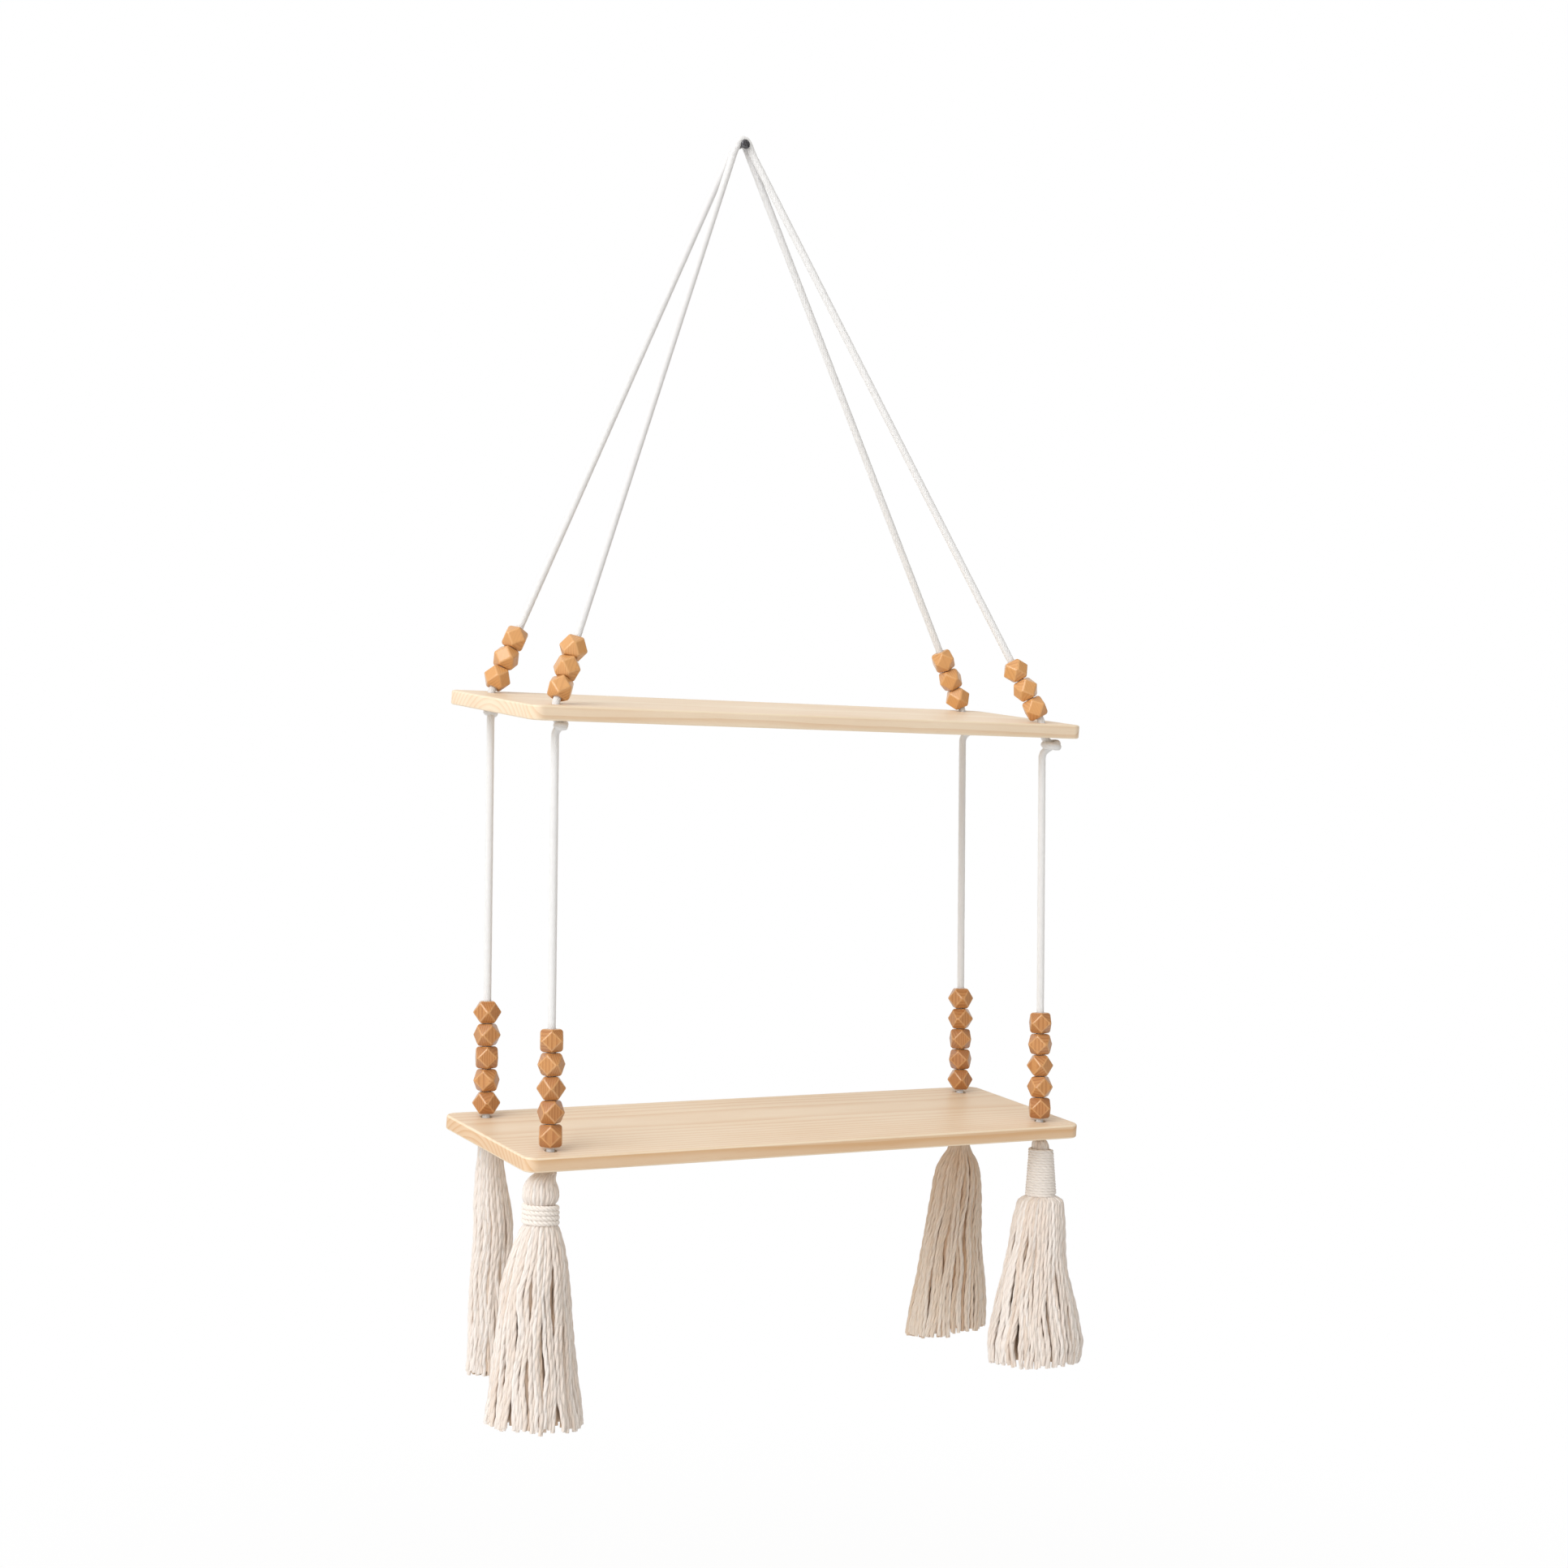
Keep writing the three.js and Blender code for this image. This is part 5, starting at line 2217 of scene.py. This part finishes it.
@dataclass
class Studio:
    """The camera at the photograph's angle, the lamps, the plain background and the floor."""

    target: Vector = field(default_factory=lambda: Vector((0.0075, -0.0712, -0.4745)))
    azimuth_deg: float = -30.86
    elevation_deg: float = -1.24
    roll: float = 0.009
    distance: float = 1.8430
    lens: float = 58.70
    sensor: float = 36.0
    sight: float = 60.0
    floor_height: float = -1.25
    floor_half: float = 9.0
    fill: float = 0.50
    fill_slope: float = 0.8
    wall_reach: tuple[float, float] = (0.1, 0.5)
    fill_from: tuple[float, float, float] = (-0.74, -0.30, 0.60)
    floor_colour: tuple[float, float, float, float] = (0.9, 0.9, 0.9, 1.0)
    floor_glow: float = 0.88
    floor_fade_from: float = 0.25
    floor_fade_to: float = 1.5
    fill_warmth: tuple[float, float, float, float] = (1.0, 0.96, 0.90, 1.0)
    key_power: float = 140.0
    key_size: float = 4.0
    key_distance: float = 4.8
    key_from: tuple[float, float, float] = (-0.80, -0.37, 0.60)
    wall_patch_radius: float = 0.018
    wall_patch_sides: int = 48

    def place_camera(self) -> None:
        """Sets the camera up where the photograph was taken from."""
        azimuth, elevation = math.radians(self.azimuth_deg), math.radians(self.elevation_deg)
        sine, cosine, flat = math.sin(azimuth), math.cos(azimuth), math.cos(elevation)
        back = Vector((sine * flat, -cosine * flat, math.sin(elevation)))
        level = Vector((cosine, sine, 0.0))
        upright = back.cross(level)
        right = level * math.cos(self.roll) + upright * math.sin(self.roll)
        up = back.cross(right)
        data = bpy.data.cameras.new("camera")
        data.lens = self.lens
        data.sensor_width = self.sensor
        data.clip_end = self.sight
        camera = bpy.data.objects.new("camera", data)
        bpy.context.scene.collection.objects.link(camera)
        turned = Matrix((right, up, back)).transposed().to_4x4()
        camera.matrix_world = Matrix.Translation(self.target + back * self.distance) @ turned
        bpy.context.scene.camera = camera

    def place_lamp(self) -> None:
        """Hangs the soft main lamp, turned to the shelf."""
        data = bpy.data.lights.new("key", "AREA")
        data.shape = "DISK"
        data.size = self.key_size
        data.energy = self.key_power
        lamp = bpy.data.objects.new("key", data)
        bpy.context.scene.collection.objects.link(lamp)
        place = self.target + Vector(self.key_from).normalized() * self.key_distance
        lamp.location = place
        lamp.rotation_euler = (self.target - place).to_track_quat("-Z", "Y").to_euler()

    def light_world(self) -> None:
        """Fills the room with soft light, with a white background."""
        world = bpy.data.worlds.new("studio")
        world.use_nodes = True
        bpy.context.scene.world = world
        plan = Plan(world.node_tree)
        shade = world.node_tree.nodes["Background"]
        seen = plan.seen_directly()
        tint = plan.mixed(seen, self.fill_warmth, WHITE)
        plan.tree.links.new(tint.socket, shade.inputs["Color"])
        outward = plan.node("ShaderNodeTexCoord", output="Generated")
        facing = plan.measured("DOT_PRODUCT", outward, Vector(self.fill_from).normalized())
        fill = (facing * self.fill_slope + 1.0) * self.fill
        mirrored = plan.node("ShaderNodeLightPath", output="Is Glossy Ray")
        wall = mirrored * plan.between(*self.wall_reach, plan.parts(outward)[1])
        bright = plan.maths("MAXIMUM", seen, wall)
        strength = plan.maths("MAXIMUM", bright, fill * (1.0 - seen))
        plan.tree.links.new(strength.socket, shade.inputs["Strength"])

    def lay_floor(self) -> None:
        """Lays the pale floor, which shows white, keeps the shadow and is clear from below."""
        plan = StagePlan("pale_floor")
        diffuse = plan.node("ShaderNodeBsdfDiffuse", inputs={"Color": self.floor_colour})
        foot = (self.target.x, self.target.y, self.floor_height)
        away = plan.measured("DISTANCE", plan.place(), foot)
        far = plan.between(self.floor_fade_from, self.floor_fade_to, away)
        share = plan.seen_directly() * (far * (1 - self.floor_glow) + self.floor_glow)
        above = plan.blended(share, diffuse, plan.glow())
        half = self.floor_half
        corners = [(-half, -half), (half, -half), (half, half), (-half, half)]
        points = [(x, y, self.floor_height) for x, y in corners]
        plan.laid_on("floor", points, plan.blended(plan.behind(), above, plan.clear()))

    def hang_wall_patch(self) -> None:
        """Shows the bit of white wall round the nail, which hides the nail's far end from the front."""
        plan = StagePlan("white_wall")
        share = (1.0 - plan.behind()) * plan.seen_directly()
        disc = circle(self.wall_patch_radius, self.wall_patch_sides)
        points = [(x, 0.0, z) for x, z in disc]
        plan.laid_on("wall_patch", points, plan.blended(share, plan.clear(), plan.glow()))

    def build(self) -> None:
        """Sets up everything round the shelf."""
        bpy.context.scene.view_settings.view_transform = "Standard"
        self.place_camera()
        self.place_lamp()
        self.light_world()
        self.lay_floor()
        self.hang_wall_patch()


def main() -> None:
    """Builds the shelf piece by piece."""
    logging.basicConfig(level=logging.INFO, format="%(name)s %(message)s")
    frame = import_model()
    Studio().build()
    places = Places({joint["name"]: joint for joint in frame["joints"]})
    finishes = Finishes.mixed_up()
    tree = laid_rope_tree()
    Ropes(places, tree, finishes.rope).build()
    Boards(places, finishes.board).build()
    Beads(places, finishes.bead).build()
    Tassels(places, tree, finishes.tassel, finishes.browner, finishes.wrap).build()
    Nail(finishes.nail).build()


if __name__ == "__main__":
    main()
